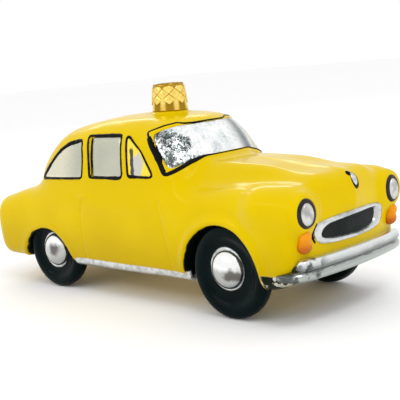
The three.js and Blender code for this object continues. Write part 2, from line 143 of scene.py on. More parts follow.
class Tree:
    """A node tree that is filled by calling node()."""

    def __init__(self, tree):
        self.tree = tree

    def node(self, kind, settings=None, sockets=(), out=0):
        made = self.tree.nodes.new(kind)
        for key, value in (settings or {}).items():
            setattr(made, key, value)
        pairs = sockets.items() if isinstance(sockets, dict) else enumerate(sockets)
        for key, value in pairs:
            if isinstance(value, Sock):
                self.tree.links.new(value.socket, made.inputs[key])
            elif value is not None:
                made.inputs[key].default_value = value
        return Sock(self, made.outputs[out]) if len(made.outputs) else made

    def parts(self, vector):
        """The x, y and z of a vector as three numbers."""
        x = self.node("ShaderNodeSeparateXYZ", {}, [vector])
        return [Sock(self, output) for output in x.socket.node.outputs]

    def vector(self, x, y, z):
        return self.node("ShaderNodeCombineXYZ", {}, [x, y, z])


print("node helpers ready")

# %% [markdown]
# ## Paints and metals
# Each finish is a Principled shader. `Finish` gives the coordinates of the
# object itself, noise in millimetres, and colour mixing, so that a finish reads
# like a recipe: what the base coat is, what varies over it, and how glossy the
# top is. A value that is the same everywhere is set on the shader's socket.

# %% Finish helper
class Finish(Tree):
    """A material built round one Principled shader."""

    def __init__(self, name, **constants):
        self.material = bpy.data.materials.new(name)
        self.material.use_nodes = True
        super().__init__(self.material.node_tree)
        self.shader = self.tree.nodes["Principled BSDF"]
        self.where = self.node("ShaderNodeTexCoord", {}, [], "Object")
        self.x, self.y, self.z = self.parts(self.where)
        for key, value in constants.items():
            self.shader.inputs[key.replace("_", " ")].default_value = value

    def noise(self, size_mm, detail=2.0, offset=0.0, distortion=0.0, stretch=(1, 1, 1)):
        place = self.where
        if offset or stretch != (1, 1, 1):
            place = self.node("ShaderNodeMapping", {},
                              {"Vector": self.where, "Location": (offset, offset, offset),
                               "Scale": stretch})
        return self.node("ShaderNodeTexNoise", {},
                         {"Vector": place, "Scale": 1 / (size_mm * MM),
                          "Detail": detail, "Distortion": distortion})

    def mix(self, factor, first, second):
        return self.node("ShaderNodeMix", {"data_type": "RGBA"},
                         {0: factor, 6: first, 7: second}, 2)

    def set(self, **links):
        for key, value in links.items():
            self.tree.links.new(value.socket, self.shader.inputs[key.replace("_", " ")])

    def bump(self, height, depth_mm, strength=1.0):
        self.set(Normal=self.node("ShaderNodeBump", {},
                                  {"Height": height, "Distance": depth_mm * MM,
                                   "Strength": strength}))


def rgb(red, green, blue):
    return (red, green, blue, 1.0)


print("finish helper ready")

# %% [markdown]
# ### Yellow lacquer, with the blacked-out wheel arches
# The whole car is dipped or sprayed in an opaque yellow, then the inside of
# each wheel arch is blacked out with a brush, and the chin under the front
# bumper gets silver and black. A painted mask could place the black, but it
# would need the body unwrapped. Here it is placed by distance from each arch's
# centre, with noise on the distance so that the edge wavers as a hand-painted
# one does.

# %% Yellow lacquer
ARCH_FRONT = {"x": 37.0, "z": 10.8, "r": 13.0, "inner": 14.9}
ARCH_REAR = {"x": -36.2, "z": 6.4, "r": 11.85, "inner": 12.7, "skin": 19.35, "well": 12.9}
TYRE_R, TYRE_W = 12.0, 5.5
FRONT_AXLE = {"x": 39.2, "face": 21.0}
REAR_AXLE = {"x": -33.8, "face": 18.9}

yellow = Finish("yellow_lacquer", Coat_Weight=0.06, Coat_Roughness=0.14, Specular_IOR_Level=0.08,
                Specular_Tint=rgb(1.0, 0.82, 0.03))
cloud = yellow.noise(26, 3.0)
patch = yellow.noise(7, 4.0, 0.3)
base = yellow.mix(cloud.ramp(0.35, 0.7), rgb(0.70, 0.49, 0.0), rgb(0.745, 0.53, 0.0))
base = yellow.mix(patch.ramp(0.62, 0.8) * 0.25, base, rgb(0.65, 0.43, 0.0))
# The lower part of the body is painted darker, with a wavering edge: painted shade.
painted_low_shade = (yellow.z + (cloud - 0.5) * (9 * MM)).ramp(26 * MM, 9 * MM)
base = yellow.mix(painted_low_shade * 0.9, base, rgb(0.53, 0.36, 0.0))
waver = (yellow.noise(5.0, 2.0, 0.7) - 0.5) * (1.3 * MM)
side = abs(yellow.y)


def from_centre(x_mm, z_mm):
    dx, dz = yellow.x - x_mm * MM, yellow.z - z_mm * MM
    return (dx * dx + dz * dz).root() + waver


front_arch = (from_centre(ARCH_FRONT["x"], ARCH_FRONT["z"]).ramp(13.35 * MM, 13.2 * MM)
              * side.ramp(14.0 * MM, 14.3 * MM))
rear_arch = (from_centre(ARCH_REAR["x"], ARCH_REAR["z"]).ramp(12.2 * MM, 12.0 * MM)
             * side.ramp(11.8 * MM, 12.1 * MM))
rear_well = (from_centre(REAR_AXLE["x"], TYRE_R).ramp(14.3 * MM, 14.1 * MM)
             * side.ramp(11.8 * MM, 12.1 * MM) * side.ramp(19.9 * MM, 19.7 * MM))
blacked = front_arch.most(rear_arch).most(rear_well)
chin = yellow.x.ramp(50.5 * MM, 51.5 * MM) * (yellow.z + waver * 0.7).ramp(12.9 * MM, 12.5 * MM)
blot = chin * (yellow.noise(1.8, 3.0, 1.4)
               + yellow.x.ramp(57 * MM, 53 * MM) * 0.16).ramp(0.5, 0.58)
chin = chin * (1 - blot)
colour = yellow.mix(chin, base, rgb(0.62, 0.63, 0.64))
yellow.set(Base_Color=yellow.mix(blacked.most(blot), colour, rgb(0.001, 0.005, 0.005)),
           Roughness=0.15 + yellow.noise(3.0, 3.0, 0.9) * 0.08 + blacked * 0.15,
           Metallic=chin * 0.8)
yellow.bump(yellow.noise(9, 1.0, 1.7) + yellow.noise(0.8, 2.0, 2.1) * 0.04, 0.35, 0.35)
print("yellow lacquer:", len(yellow.tree.nodes), "nodes")

# %% [markdown]
# ### Bare silvered glass
# The windows are left unpainted, so the silvering inside the glass shows: a
# slightly cloudy mirror with a warm cast. A clear wall with a mirror behind it
# would be closer to the real thing, but it takes many more bounces of light and
# looks much the same, so a metallic base under a clear coat stands for both.
# The windscreen's silvering has crackled, with one patch worn dark near its
# right-hand end. Crackle is a Voronoi pattern's edges, broken up by noise. The
# small vent windows are mostly brushed over in yellow, with one black smear and
# a patch left bare.

# %% Window glass
window = Finish("window_mirror", Metallic=0.9, Coat_Weight=0.4, Coat_Roughness=0.04)
haze = window.noise(9, 3.0)
tone = window.mix(haze.ramp(0.3, 0.7), rgb(0.48, 0.485, 0.39), rgb(0.55, 0.55, 0.44))
tone = window.mix((window.x + haze * (8 * MM)).ramp(-14 * MM, -24 * MM) * 0.8,
                  tone, rgb(0.80, 0.76, 0.58))
speck = window.noise(1.1, 4.0, 0.4).ramp(0.62, 0.72)
window.set(Base_Color=window.mix(speck * 0.2, tone, rgb(0.25, 0.24, 0.2)),
           Roughness=0.2 + haze * 0.18)
window.bump(window.noise(5, 2.0, 0.2), 0.25, 0.4)

crackle = Finish("crackle_silver", Metallic=0.95, Coat_Weight=0.5, Coat_Roughness=0.04)
flakes = crackle.node("ShaderNodeTexVoronoi", {"feature": "DISTANCE_TO_EDGE"},
                      {"Vector": crackle.where, "Scale": 1 / (1.5 * MM)})
cracks = flakes.ramp(0.12, 0.02) * crackle.noise(3.0, 3.0, 0.5).ramp(0.5, 0.62)
mottle = (crackle.noise(1.3, 5.0, 0.9).ramp(0.5, 0.7)
          * crackle.noise(5.0, 2.0, 1.9).ramp(0.42, 0.6))
worn_place = (((crackle.y + 13.4 * MM + (crackle.z - 42.6 * MM) * 0.25) / (3.4 * MM)) ** 2.0
              + ((crackle.z - 43.8 * MM) / (3.1 * MM)) ** 2.0).root()
worn = (worn_place + (crackle.noise(2.6, 3.0, 0.1) - 0.5) * 1.3).ramp(1.15, 0.85)
curl = abs(crackle.noise(1.9, 3.0, 0.4, 1.6) - 0.5).ramp(0.05, 0.012)
blotch = ((crackle.noise(1.7, 5.0, 0.8, 0.9) + worn * 0.06).ramp(0.40, 0.49)
          * worn * (1 - curl * 0.75))
rim_wear = ((-crackle.y).ramp(12.0 * MM, 17.0 * MM)
            * crackle.noise(1.0, 5.0, 0.6).ramp(0.46, 0.58))
foot = ((crackle.z + crackle.y * 0.16).ramp(39.0 * MM, 37.6 * MM)
        * (-crackle.y).ramp(4 * MM, 8 * MM) * crackle.noise(1.1, 5.0, 0.2).ramp(0.42, 0.55))
# The far half of the silvering is painted a darker grey, with a dark band across it: painted reflection.
far_side = crackle.y + (crackle.noise(4, 2.0, 0.5) - 0.5) * (1.5 * MM)
shade = far_side.ramp(5.5 * MM, 9.5 * MM) * far_side.ramp(12.6 * MM, 10.0 * MM)
tone = crackle.mix(crackle.noise(5, 3.0).ramp(0.4, 0.6), rgb(0.82, 0.87, 0.87), rgb(1.0, 1.0, 1.0))
tone = crackle.mix(far_side.ramp(3 * MM, 7 * MM) * 0.5, tone, rgb(0.62, 0.64, 0.63))
tone = crackle.mix(shade * 0.9, tone, rgb(0.10, 0.12, 0.12))
tone = crackle.mix(far_side.ramp(12 * MM, 13.2 * MM), tone, rgb(0.68, 0.64, 0.50))
tone = crackle.mix((cracks * 0.5).most(mottle * 0.4), tone, rgb(0.33, 0.37, 0.37))
tone = crackle.mix((blotch * 0.97).most(rim_wear * 0.85).most(foot * 0.9),
                   tone, rgb(0.008, 0.022, 0.022))
crackle.set(Base_Color=tone, Roughness=0.13 + cracks * 0.3 + blotch * 0.2)
crackle.bump(flakes.ramp(0.0, 0.2) + crackle.noise(1.2, 4.0, 0.3), 0.12, 0.5)

vent_glass = Finish("vent_mirror", Coat_Weight=0.5, Coat_Roughness=0.06)
patch = (((vent_glass.x - 7.1 * MM) / (2.3 * MM)) ** 2.0
         + ((vent_glass.z - 38.0 * MM) / (3.4 * MM)) ** 2.0).root()
bare = (patch + (vent_glass.noise(1.6, 4.0, 0.3) - 0.5) * 1.3).ramp(1.1, 0.85)
smear_place = (vent_glass.x - 5.0 * MM + (vent_glass.z - 39.0 * MM) * 0.13) / (0.65 * MM)
smear = ((abs(smear_place) + (vent_glass.noise(1.3, 3.0, 0.9) - 0.5) * 1.4).ramp(1.2, 0.7)
         * vent_glass.z.ramp(43.2 * MM, 42.2 * MM))
tone = vent_glass.mix(bare, rgb(0.92, 0.69, 0.0), rgb(0.62, 0.61, 0.55))
vent_glass.set(Base_Color=vent_glass.mix(smear, tone, rgb(0.012, 0.012, 0.012)),
               Metallic=bare * (1 - smear) * 0.85, Roughness=0.2 + vent_glass.noise(2.0, 3.0) * 0.15)
vent_glass.bump(vent_glass.noise(1.5, 2.0, 0.4), 0.1, 0.4)
print("glass finishes:", len(window.tree.nodes), "and", len(crackle.tree.nodes), "nodes")

# %% [markdown]
# ### Brushed-on paints
# Silver paint is fine metal flake: shiny, streaked along the brush stroke,
# thinner in places. The flakes could be specks of a second material, but they
# are too fine to see singly, so noise varies the colour and the roughness. One
# function makes both plain silvers, which differ only in tint and stroke.

# %% Silver paints
def silver_paint(name, bright, dark, roughness, streak):
    paint = Finish(name, Metallic=0.82, Coat_Weight=0.25, Coat_Roughness=0.1)
    strokes = paint.noise(1.4, 4.0, 0.2, 0.3, streak)
    flake = paint.noise(0.35, 2.0, 0.5)
    pool = paint.noise(6.0, 3.0, 0.9)
    colour = paint.mix(strokes.ramp(0.25, 0.6), rgb(*dark), rgb(*bright))
    colour = paint.mix(pool.ramp(0.55, 0.75) * 0.35, colour, rgb(*dark))
    paint.set(Base_Color=colour, Roughness=roughness + strokes * 0.14 + flake * 0.08)
    paint.bump(strokes + flake * 0.1, 0.1, 0.35)
    return paint


silver = silver_paint("silver_paint", (0.66, 0.68, 0.68), (0.34, 0.36, 0.36), 0.14,
                      (0.8, 0.35, 1.0))
lamp_silver = silver_paint("lamp_silver", (0.66, 0.66, 0.64), (0.28, 0.28, 0.27), 0.24,
                           (1, 0.6, 0.5))
print("silver paint:", len(silver.tree.nodes), "nodes")

# %% [markdown]
# ### Bumper silver and hub silvering
# The bumper is bright on its rounded upper part and dark in its groove and
# under its edge. In a real room that would be reflections and shade. This
# studio is plain, so the bands are painted into the silver, placed by height:
# painted reflection and painted shade. The hub caps are bare silvering,
# painted brighter on top and darker low down, with a brown spot low on the
# dome as a painted reflection, placed in the same way.

# %% Bumper silver and hub silvering
chrome = Finish("bumper_silver", Metallic=0.9, Coat_Weight=0.2, Coat_Roughness=0.1)
strokes = chrome.noise(2.2, 3.0, 0.2, 0.2, (0.5, 0.5, 1.0))
height = chrome.z + (strokes - 0.5) * (0.9 * MM)
# Bands by height: painted reflection on the rounded parts, painted shade in the groove and under the lower
# edge.
tone = chrome.mix(height.ramp(14.5 * MM, 16.3 * MM), rgb(0.19, 0.21, 0.20), rgb(0.74, 0.77, 0.76))
tone = chrome.mix(height.ramp(14.4 * MM, 14.0 * MM), tone, rgb(0.15, 0.16, 0.16))
tone = chrome.mix(height.ramp(13.9 * MM, 13.5 * MM), tone, rgb(0.42, 0.45, 0.43))
tone = chrome.mix(height.ramp(12.3 * MM, 11.6 * MM), tone, rgb(0.20, 0.22, 0.21))
# Dark patches, placed by noise, towards the near end of the bumper.
near_end_dark_patches = chrome.noise(2.6, 4.0, 0.7).ramp(0.46, 0.6) * (-chrome.y).ramp(12 * MM, 17 * MM)
chrome.set(Base_Color=chrome.mix(near_end_dark_patches * 0.85, tone, rgb(0.03, 0.04, 0.04)),
           Roughness=0.16 + strokes * 0.14)
chrome.bump(strokes, 0.12, 0.3)

hub_silver = Finish("hub_silvering", Metallic=0.95, Coat_Weight=0.3, Coat_Roughness=0.04)
cloud = hub_silver.noise(3.2, 4.0, 0.3)
# A brown spot low on each dome: painted reflection.
from_hub = abs(hub_silver.x - 4.85 * MM) - 36.75 * MM
reflection_spot_distance = ((from_hub / (2.3 * MM)) ** 2.0 + ((hub_silver.z - 12.0 * MM) / (1.7 * MM)) ** 2.0).root()
painted_reflection_spot = (reflection_spot_distance + (cloud - 0.5) * 2.2).ramp(1.35, 0.55) * 0.9
# Brighter on top and darker low down: painted highlight and painted shade.
tone = hub_silver.mix((hub_silver.z + (cloud - 0.5) * (2 * MM)).ramp(12.2 * MM, 14.2 * MM),
                      rgb(0.50, 0.52, 0.51), rgb(0.92, 0.93, 0.92))
tone = hub_silver.mix(painted_reflection_spot, tone, rgb(0.10, 0.085, 0.075))
tone = hub_silver.mix(hub_silver.z.ramp(10.4 * MM, 8.6 * MM) * 0.45, tone, rgb(0.42, 0.42, 0.41))
hub_silver.set(Base_Color=tone, Roughness=0.1 + cloud * 0.16)
hub_silver.bump(hub_silver.noise(1.6, 3.0, 0.8), 0.08, 0.3)
print("bumper and hub finishes:", len(chrome.tree.nodes), "and", len(hub_silver.tree.nodes), "nodes")

# %% [markdown]
# ### Enamels
# Black, orange and red are brushed on by hand and pool a little before they
# dry. Each could be one flat colour, which looks like plastic. A second shade
# is mixed in by noise. On the orange drops it is painted shade instead, placed
# by height, so that their lower part is darker.

# %% Enamels
def enamel(name, colour, shade, roughness, gloss, coat=0.4, low=None):
    """Glossy paint; with low given, the second colour is painted shade below that height in mm."""
    paint = Finish(name, Coat_Weight=coat, Coat_Roughness=0.06, Specular_IOR_Level=gloss)
    pool = paint.noise(4.0, 3.0)
    if low is None:
        amount = pool.ramp(0.35, 0.7)
    else:
        amount = (paint.z + pool * MM).ramp((low + 2.6) * MM, low * MM)
    paint.set(Base_Color=paint.mix(amount, rgb(*colour), rgb(*shade)),
              Roughness=roughness + paint.noise(1.2, 3.0, 0.6) * 0.12)
    paint.bump(paint.noise(2.2, 2.0, 0.4), 0.12, 0.4)
    return paint


black = enamel("black_paint", (0.002, 0.0022, 0.0025), (0.006, 0.006, 0.006), 0.3, 0.05, 0.03)
brown_black = enamel("lamp_outline_paint", (0.020, 0.012, 0.010), (0.008, 0.008, 0.009),
                     0.3, 0.2, 0.1)
tyre_black = enamel("tyre_paint", (0.0004, 0.0038, 0.0040), (0.0008, 0.0062, 0.0064),
                    0.24, 0.05, 0.02)
mouth_black = enamel("mouth_paint", (0.003, 0.008, 0.0075), (0.010, 0.014, 0.013),
                     0.35, 0.08, 0.03)
# The orange drops are painted darker on their lower part: painted shade.
orange = enamel("orange_paint", (0.84, 0.30, 0.0), (0.50, 0.12, 0.0), 0.1, 0.12, 0.2, 19.6)
red = enamel("red_paint", (0.50, 0.012, 0.012), (0.36, 0.006, 0.008), 0.16, 0.5, 0.8)
print("orange enamel:", len(orange.tree.nodes), "nodes")

# %% [markdown]
# ### Gold metal
# The cap is pressed from thin gold-coloured sheet. Metal gets its look from
# what it reflects, so the recipe only varies tint and roughness a little. The
# embossing is some tenths of a millimetre deep and would look flat by
# reflection alone, so its hollows are painted a deeper tint as painted shade,
# picked out by their distance from the cap's axis.

# %% Gold
CAP_X, CAP_BASE, CAP_R, CAP_TAPER = 2.3, 51.45, 5.18, 0.105


def gold_metal(name, bright, deep, roughness, relief=None):
    metal = Finish(name, Metallic=1.0)
    stain = metal.noise(2.5, 4.0, 0.3)
    colour = metal.mix(stain.ramp(0.3, 0.75), rgb(*bright), rgb(*deep))
    # The relief's hollows are painted darker: painted shade.
    if relief:
        dx = metal.x - relief["x"] * MM
        out = ((dx * dx + metal.y * metal.y).root()
               + (metal.z - relief["base"] * MM) * relief["taper"])
        hollow_shade = out.ramp(relief["high"] * MM, relief["low"] * MM)
        colour = metal.mix(hollow_shade, colour, rgb(*relief["colour"]))
    metal.set(Base_Color=colour, Roughness=roughness + metal.noise(0.6, 3.0, 0.8) * 0.14)
    metal.bump(metal.noise(0.7, 2.0, 0.1), 0.03, 0.3)
    return metal


# The relief's colour is the painted shade in the embossing's hollows.
gold = gold_metal("gold_cap", (0.97, 0.74, 0.20), (0.84, 0.54, 0.08), 0.16,
                  {"x": CAP_X, "base": CAP_BASE, "taper": CAP_TAPER, "high": CAP_R + 0.13,
                   "low": CAP_R - 0.04, "colour": (0.36, 0.20, 0.012)})
wire_gold = gold_metal("gold_wire", (0.83, 0.60, 0.20), (0.66, 0.44, 0.12), 0.2)
bore_silver = silver_paint("inner_silvering", (0.35, 0.35, 0.33), (0.15, 0.15, 0.14), 0.3, (1, 1, 1))
print("gold ready")

# %% [markdown]
# ## The shape of blown glass
# Hot glass pressed into a mould has no sharp edge anywhere. The body is written
# as a field: a function that is negative inside the car, positive outside and
# zero on the surface. Soft maximum and minimum join its walls with a radius, as
# softened glass does. The numbers are the CAD's own, and the fine detail is
# added on top: seams, arches, recessed windows, pods and creases.

# %% Body profiles
PROFILE = np.array([
    # x, half width, crown, shoulder, belly
    [-64, 21.5, 26.6, 26.8, 8.0], [-58, 21.5, 27.4, 27.6, 8.4],
    [-50, 21.3, 30.1, 29.4, 8.2], [-40, 21.2, 33.1, 31.0, 8.1],
    [-26, 21.2, 34.6, 32.1, 8.2], [-12, 21.1, 35.0, 32.1, 8.3],
    [4, 21.2, 35.5, 32.0, 8.4], [18, 21.4, 37.2, 32.2, 8.5],
    [30, 21.7, 38.0, 32.4, 8.5], [42, 22.2, 37.4, 33.3, 8.4],
    [52, 22.6, 35.9, 33.9, 8.5], [60, 22.5, 35.1, 33.4, 10.9],
    [65, 22.4, 33.7, 30.8, 12.6]])
NOSE_X, TAIL_X, ROOF_Z = 63.05, -64.0, 51.05
POD = {"x": 63.0, "y": 18.15, "z": 27.8, "r": 4.9}
COLLAR = {"r": 5.0, "low": 45.0, "high": 51.5}


def smax(a, b, k):
    h = np.clip(0.5 + 0.5 * (a - b) / k, 0, 1)
    return b * (1 - h) + a * h + k * h * (1 - h)


def smin(a, b, k):
    return -smax(-a, -b, k)


def step(value, low, high):
    t = np.clip((value - low) / (high - low), 0, 1)
    return t * t * (3 - 2 * t)


def along(x, column):
    """The profile table's column at x, on a smooth curve through its rows."""
    xs, ys = PROFILE[:, 0], PROFILE[:, column]
    gap = np.diff(xs)
    slope = np.diff(ys) / gap
    bend = np.concatenate([[slope[0]], (slope[:-1] * gap[1:] + slope[1:] * gap[:-1])
                           / (gap[:-1] + gap[1:]), [slope[-1]]])
    x = np.clip(x, xs[0], xs[-1])
    i = np.clip(np.searchsorted(xs, x, side="right") - 1, 0, len(xs) - 2)
    h = gap[i]
    t = (x - xs[i]) / h
    return ((2 * t**3 - 3 * t**2 + 1) * ys[i] + (t**3 - 2 * t**2 + t) * h * bend[i]
            + (3 * t**2 - 2 * t**3) * ys[i + 1] + (t**3 - t**2) * h * bend[i + 1])


print("profile rows:", len(PROFILE))

# %% [markdown]
# ### The field of the car
# The real car comes from a two-part mould, with full wings, a valley on each
# side of the bonnet and a domed cabin. It could be modelled by subdividing a
# box, but its widths and heights would then be hidden in control points. As
# formulas, the body, the cabin, the lamp pods and the collar under the cap keep
# their measurements, and soft minimums melt them together.

# %% The field of the car
def lower_body(x, y, z):
    a = np.sqrt(y * y + 0.01)
    width = along(x, 1)
    side = a - (width - 1.5 * ((z - 18) / 13) ** 2)
    turn = step(a, 8, 17)
    valley = 0.65 * np.exp(-((a - 13.2) / 2.4) ** 2) * step(x, 18, 36) * step(x, 64, 57)
    ridge = (0.3 * np.exp(-(a / 1.6) ** 2) + 0.25 * np.exp(-(a / 8.0) ** 2)) * step(x, 24, 50)
    crown, shoulder = along(x, 2), along(x, 3)
    top = z - (crown + (shoulder - crown) * turn
               - 0.004 * np.maximum(a - 14, 0) ** 2 - valley + ridge)
    nose = (0.3 * np.exp(-(a / 1.0) ** 2) + 0.9 * np.exp(-(a / 5.0) ** 2)) * step(z, 24, 28)
    front = x - (NOSE_X + nose - 0.0055 * y * y - 0.0081 * (z - 24) ** 2)
    rear = -x - (-TAIL_X - 0.0034 * y * y - 0.0072 * (z - 21) ** 2)
    f = smax(side, top, 5.5)
    f = smax(f, along(x, 4) - z, 3.5)
    f = smax(f, front, 3.0)
    return smax(f, rear, 5.2)


def cabin(x, y, z):
    a = np.abs(y)
    h, r = np.maximum(z - 34.5, 0), np.maximum(z - 34, 0)
    side = (a - (20.06 - 0.159 * h - 0.0052 * h * h)) * 0.97 + 0.0008 * (x + 4.6) ** 2
    roof = z - (ROOF_Z - 0.0045 * (x + 3.3) ** 2 - 0.0065 * y * y)
    front = (x - (26.3 - 0.644 * (z - 36) - 0.016 * y * y)) * 0.85
    rear = (-x - (46.0 - 0.426 * (z - 34) - 0.02 * r * r - 0.019 * y * y)) * 0.75
    f = smax(side, roof, 6)
    f = smax(f, front, 4.5)
    f = smax(f, rear, 6.5)
    return smax(f, 26 - z, 2)


def glass_wave(x, y, z):
    """The slight unevenness of a blown wall, the same on every run."""
    return 0.055 * (np.sin(x * 0.41 + z * 0.23) * np.sin(y * 0.37 + 1.1)
                    + np.sin(x * 0.19 - y * 0.31 + 2.0) * np.sin(z * 0.43 + 0.4))


def plain_car(x, y, z):
    """The car without its openings and recesses: body, lamp pods, cabin and neck collar."""
    pod = np.hypot(np.abs(y) - POD["y"], z - POD["z"]) - POD["r"]
    pod = smax(smax(pod, x - POD["x"], 2.0), 45.4 - x, 6.0)
    f = smin(lower_body(x, y, z), pod, 2.5)
    collar = smax(np.hypot(x - CAP_X, y) - COLLAR["r"],
                  np.maximum(z - COLLAR["high"], COLLAR["low"] - z), 0.6)
    return smin(smin(f, cabin(x, y, z), 3.0), collar, 1.2) + glass_wave(x, y, z)


probe = plain_car(np.array([0.0, NOSE_X, 0.0]), np.array([0.0, 0.0, 30.0]),
                  np.array([20.0, 24.0, 20.0]))
print("field inside, on the nose and outside:", np.round(probe, 2))

# %% [markdown]
# ### Outlines of windows, grille and seams
# Each painted area has an outline in two dimensions: x and z for the sides, y
# and z for the nose and the tail. The windscreen wraps round the pillars, so it
# is drawn on a fan: the angle round a post in the cabin, and z. The corners are
# rounded with short arcs, because neither a brush nor a glass mould can make a
# sharp one.

# %% Outlines
def mirrored(half):
    return half + [(-y, z) for y, z in reversed(half) if y != 0]


QUARTER = [(-38.0, 33.5), (-34.8, 36.2), (-31.0, 39.3), (-27.3, 42.2), (-23.6, 44.1),
           (-17.4, 45.1), (-16.5, 39.4), (-16.4, 34.2), (-26.0, 33.8)]
DOOR = [(-14.8, 46.2), (-0.3, 46.3), (1.2, 35.3), (0.2, 34.6), (-13.0, 34.5)]
VENT = [(1.9, 45.9), (3.2, 45.7), (8.3, 42.0), (13.2, 35.7), (12.4, 35.0), (3.6, 35.1)]
FAN_X, FAN = -2.0, 0.37


def fanned(half):
    """A half outline in (degrees round the cabin, z), mirrored, in millimetres."""
    return mirrored([(degrees * FAN, z) for degrees, z in half])


SCREEN = fanned([(0, 48.3), (17, 48.2), (25, 48.3), (31, 48.6), (41, 48.2), (49.5, 47.4),
                 (55, 46.8), (51.8, 43.6), (47.6, 40.1), (45, 36.6), (43.6, 35.8), (39.5, 36.5),
                 (29.6, 38.4), (19.3, 39.6), (0, 39.7)])
SILVERING = fanned([(0, 48.1), (22, 48.0), (31, 48.0), (41, 47.4), (48.7, 46.5), (50.3, 45.6),
                    (48.7, 43.8), (44.1, 39.3), (42.4, 37.7), (40, 37.3), (29.6, 38.8), (19.3, 39.8),
                    (0, 39.9)])
REAR_SCREEN = mirrored([(0, 43.9), (8, 43.7), (11.2, 43.0), (13.6, 37.6), (12.8, 36.6), (0, 36.2)])
SURROUND = [(0, 25.6), (-5, 25.45), (-10, 25.05), (-13.6, 24.5), (-14.9, 23.7), (-15.0, 22.2),
            (-14.5, 20.6), (-12.6, 19.3), (-8, 18.8), (0, 18.6), (8, 18.9), (12, 19.7),
            (13.2, 20.8), (13.9, 22.7), (13.4, 24.4), (12, 25.2), (7, 25.6)]
MOUTH = [(0, 24.2), (-5, 23.95), (-9, 23.65), (-11.3, 22.9), (-12.3, 21.7), (-12.0, 21.0),
         (-10.7, 20.5), (-8, 20.05), (-4, 19.75), (1, 19.6), (6, 19.8), (9.2, 20.6),
         (10.3, 22.0), (10.6, 23.7), (9.4, 24.4), (5, 24.4)]


def rounded(points, radius, arc=5):
    """A closed outline with each corner replaced by a short curve."""
    pts, out = np.array(points, float), []
    for i, corner in enumerate(pts):
        a, b = pts[i - 1] - corner, pts[(i + 1) % len(pts)] - corner
        la, lb = np.linalg.norm(a), np.linalg.norm(b)
        p, q = corner + a / la * min(radius, la * 0.45), corner + b / lb * min(radius, lb * 0.45)
        for t in np.linspace(0, 1, arc):
            out.append((1 - t) ** 2 * p + 2 * t * (1 - t) * corner + t * t * q)
    return np.array(out)


def resampled(points, count):
    """The same closed outline as evenly spaced points."""
    loop = np.vstack([points, points[:1]])
    run = np.concatenate([[0], np.cumsum(np.linalg.norm(np.diff(loop, axis=0), axis=1))])
    at = np.linspace(0, run[-1], count, endpoint=False)
    return np.stack([np.interp(at, run, loop[:, 0]), np.interp(at, run, loop[:, 1])], 1)


def inset(points, distance):
    """A closed outline moved inwards by a distance, or by one for each point."""
    pts = np.asarray(points, float)
    tangent = np.roll(pts, -1, 0) - np.roll(pts, 1, 0)
    tangent /= np.linalg.norm(tangent, axis=1, keepdims=True)
    normal = np.stack([-tangent[:, 1], tangent[:, 0]], 1)
    area = np.sum(pts[:, 0] * np.roll(pts[:, 1], -1) - pts[:, 1] * np.roll(pts[:, 0], -1))
    return pts + normal * np.sign(area) * np.reshape(distance, (-1, 1))


def outline_distance(u, v, outline):
    """Distance to a closed outline, negative inside it."""
    best, inside = np.full(u.shape, 1e9), np.zeros(u.shape, bool)
    for a, b in zip(outline, np.roll(outline, -1, 0)):
        e = b - a
        t = np.clip(((u - a[0]) * e[0] + (v - a[1]) * e[1]) / (e @ e), 0, 1)
        best = np.minimum(best, np.hypot(u - a[0] - t * e[0], v - a[1] - t * e[1]))
        if e[1] != 0:
            crosses = (a[1] <= v) != (b[1] <= v)
            inside ^= crosses & (u < a[0] + (v - a[1]) / e[1] * e[0])
    return np.where(inside, -best, best)


SIDE_WINDOWS = {"quarter": rounded(QUARTER, 1.3), "door": rounded(DOOR, 0.9),
                "vent": rounded(VENT, 0.9)}
SILVER_EDGE, REAR_EDGE, MOUTH_EDGE = rounded(SILVERING, 0.9), rounded(REAR_SCREEN, 2.0), rounded(MOUTH, 1.0)
print({name: len(path) for name, path in SIDE_WINDOWS.items()})

# %% [markdown]
# ### Moulded detail
# The windows and the grille mouth are pressed a fraction of a millimetre into
# the glass, the door seams are shallow grooves, the front arches have a raised
# lip, and the wheels sit in wells. Boolean cuts could make them, with hard
# edges to be bevelled after. All of it is added to the same field instead, so
# it blends into the body with a soft edge.

# %% Detailed field
SEAMS = [np.array([(15.0, 29.5), (16.2, 24.0), (18.0, 17.5), (19.0, 12.2), (19.2, 10.4)]),
         np.array([(-16.6, 28.7), (-18.0, 23.5), (-17.6, 17.6), (-17.3, 10.4)])]


def recess(u, v, path, facing, depth=0.32):
    """How far the skin is pressed in inside an outline, where facing is above 0."""
    pressed = np.zeros(u.shape)
    (left, low), (right, high) = path.min(0) - 0.4, path.max(0) + 0.4
    near = (facing > 0) & (u > left) & (u < right) & (v > low) & (v < high)
    pressed[near] = step(outline_distance(u[near], v[near], path), 0.35, -0.35) * facing[near]
    return depth * pressed


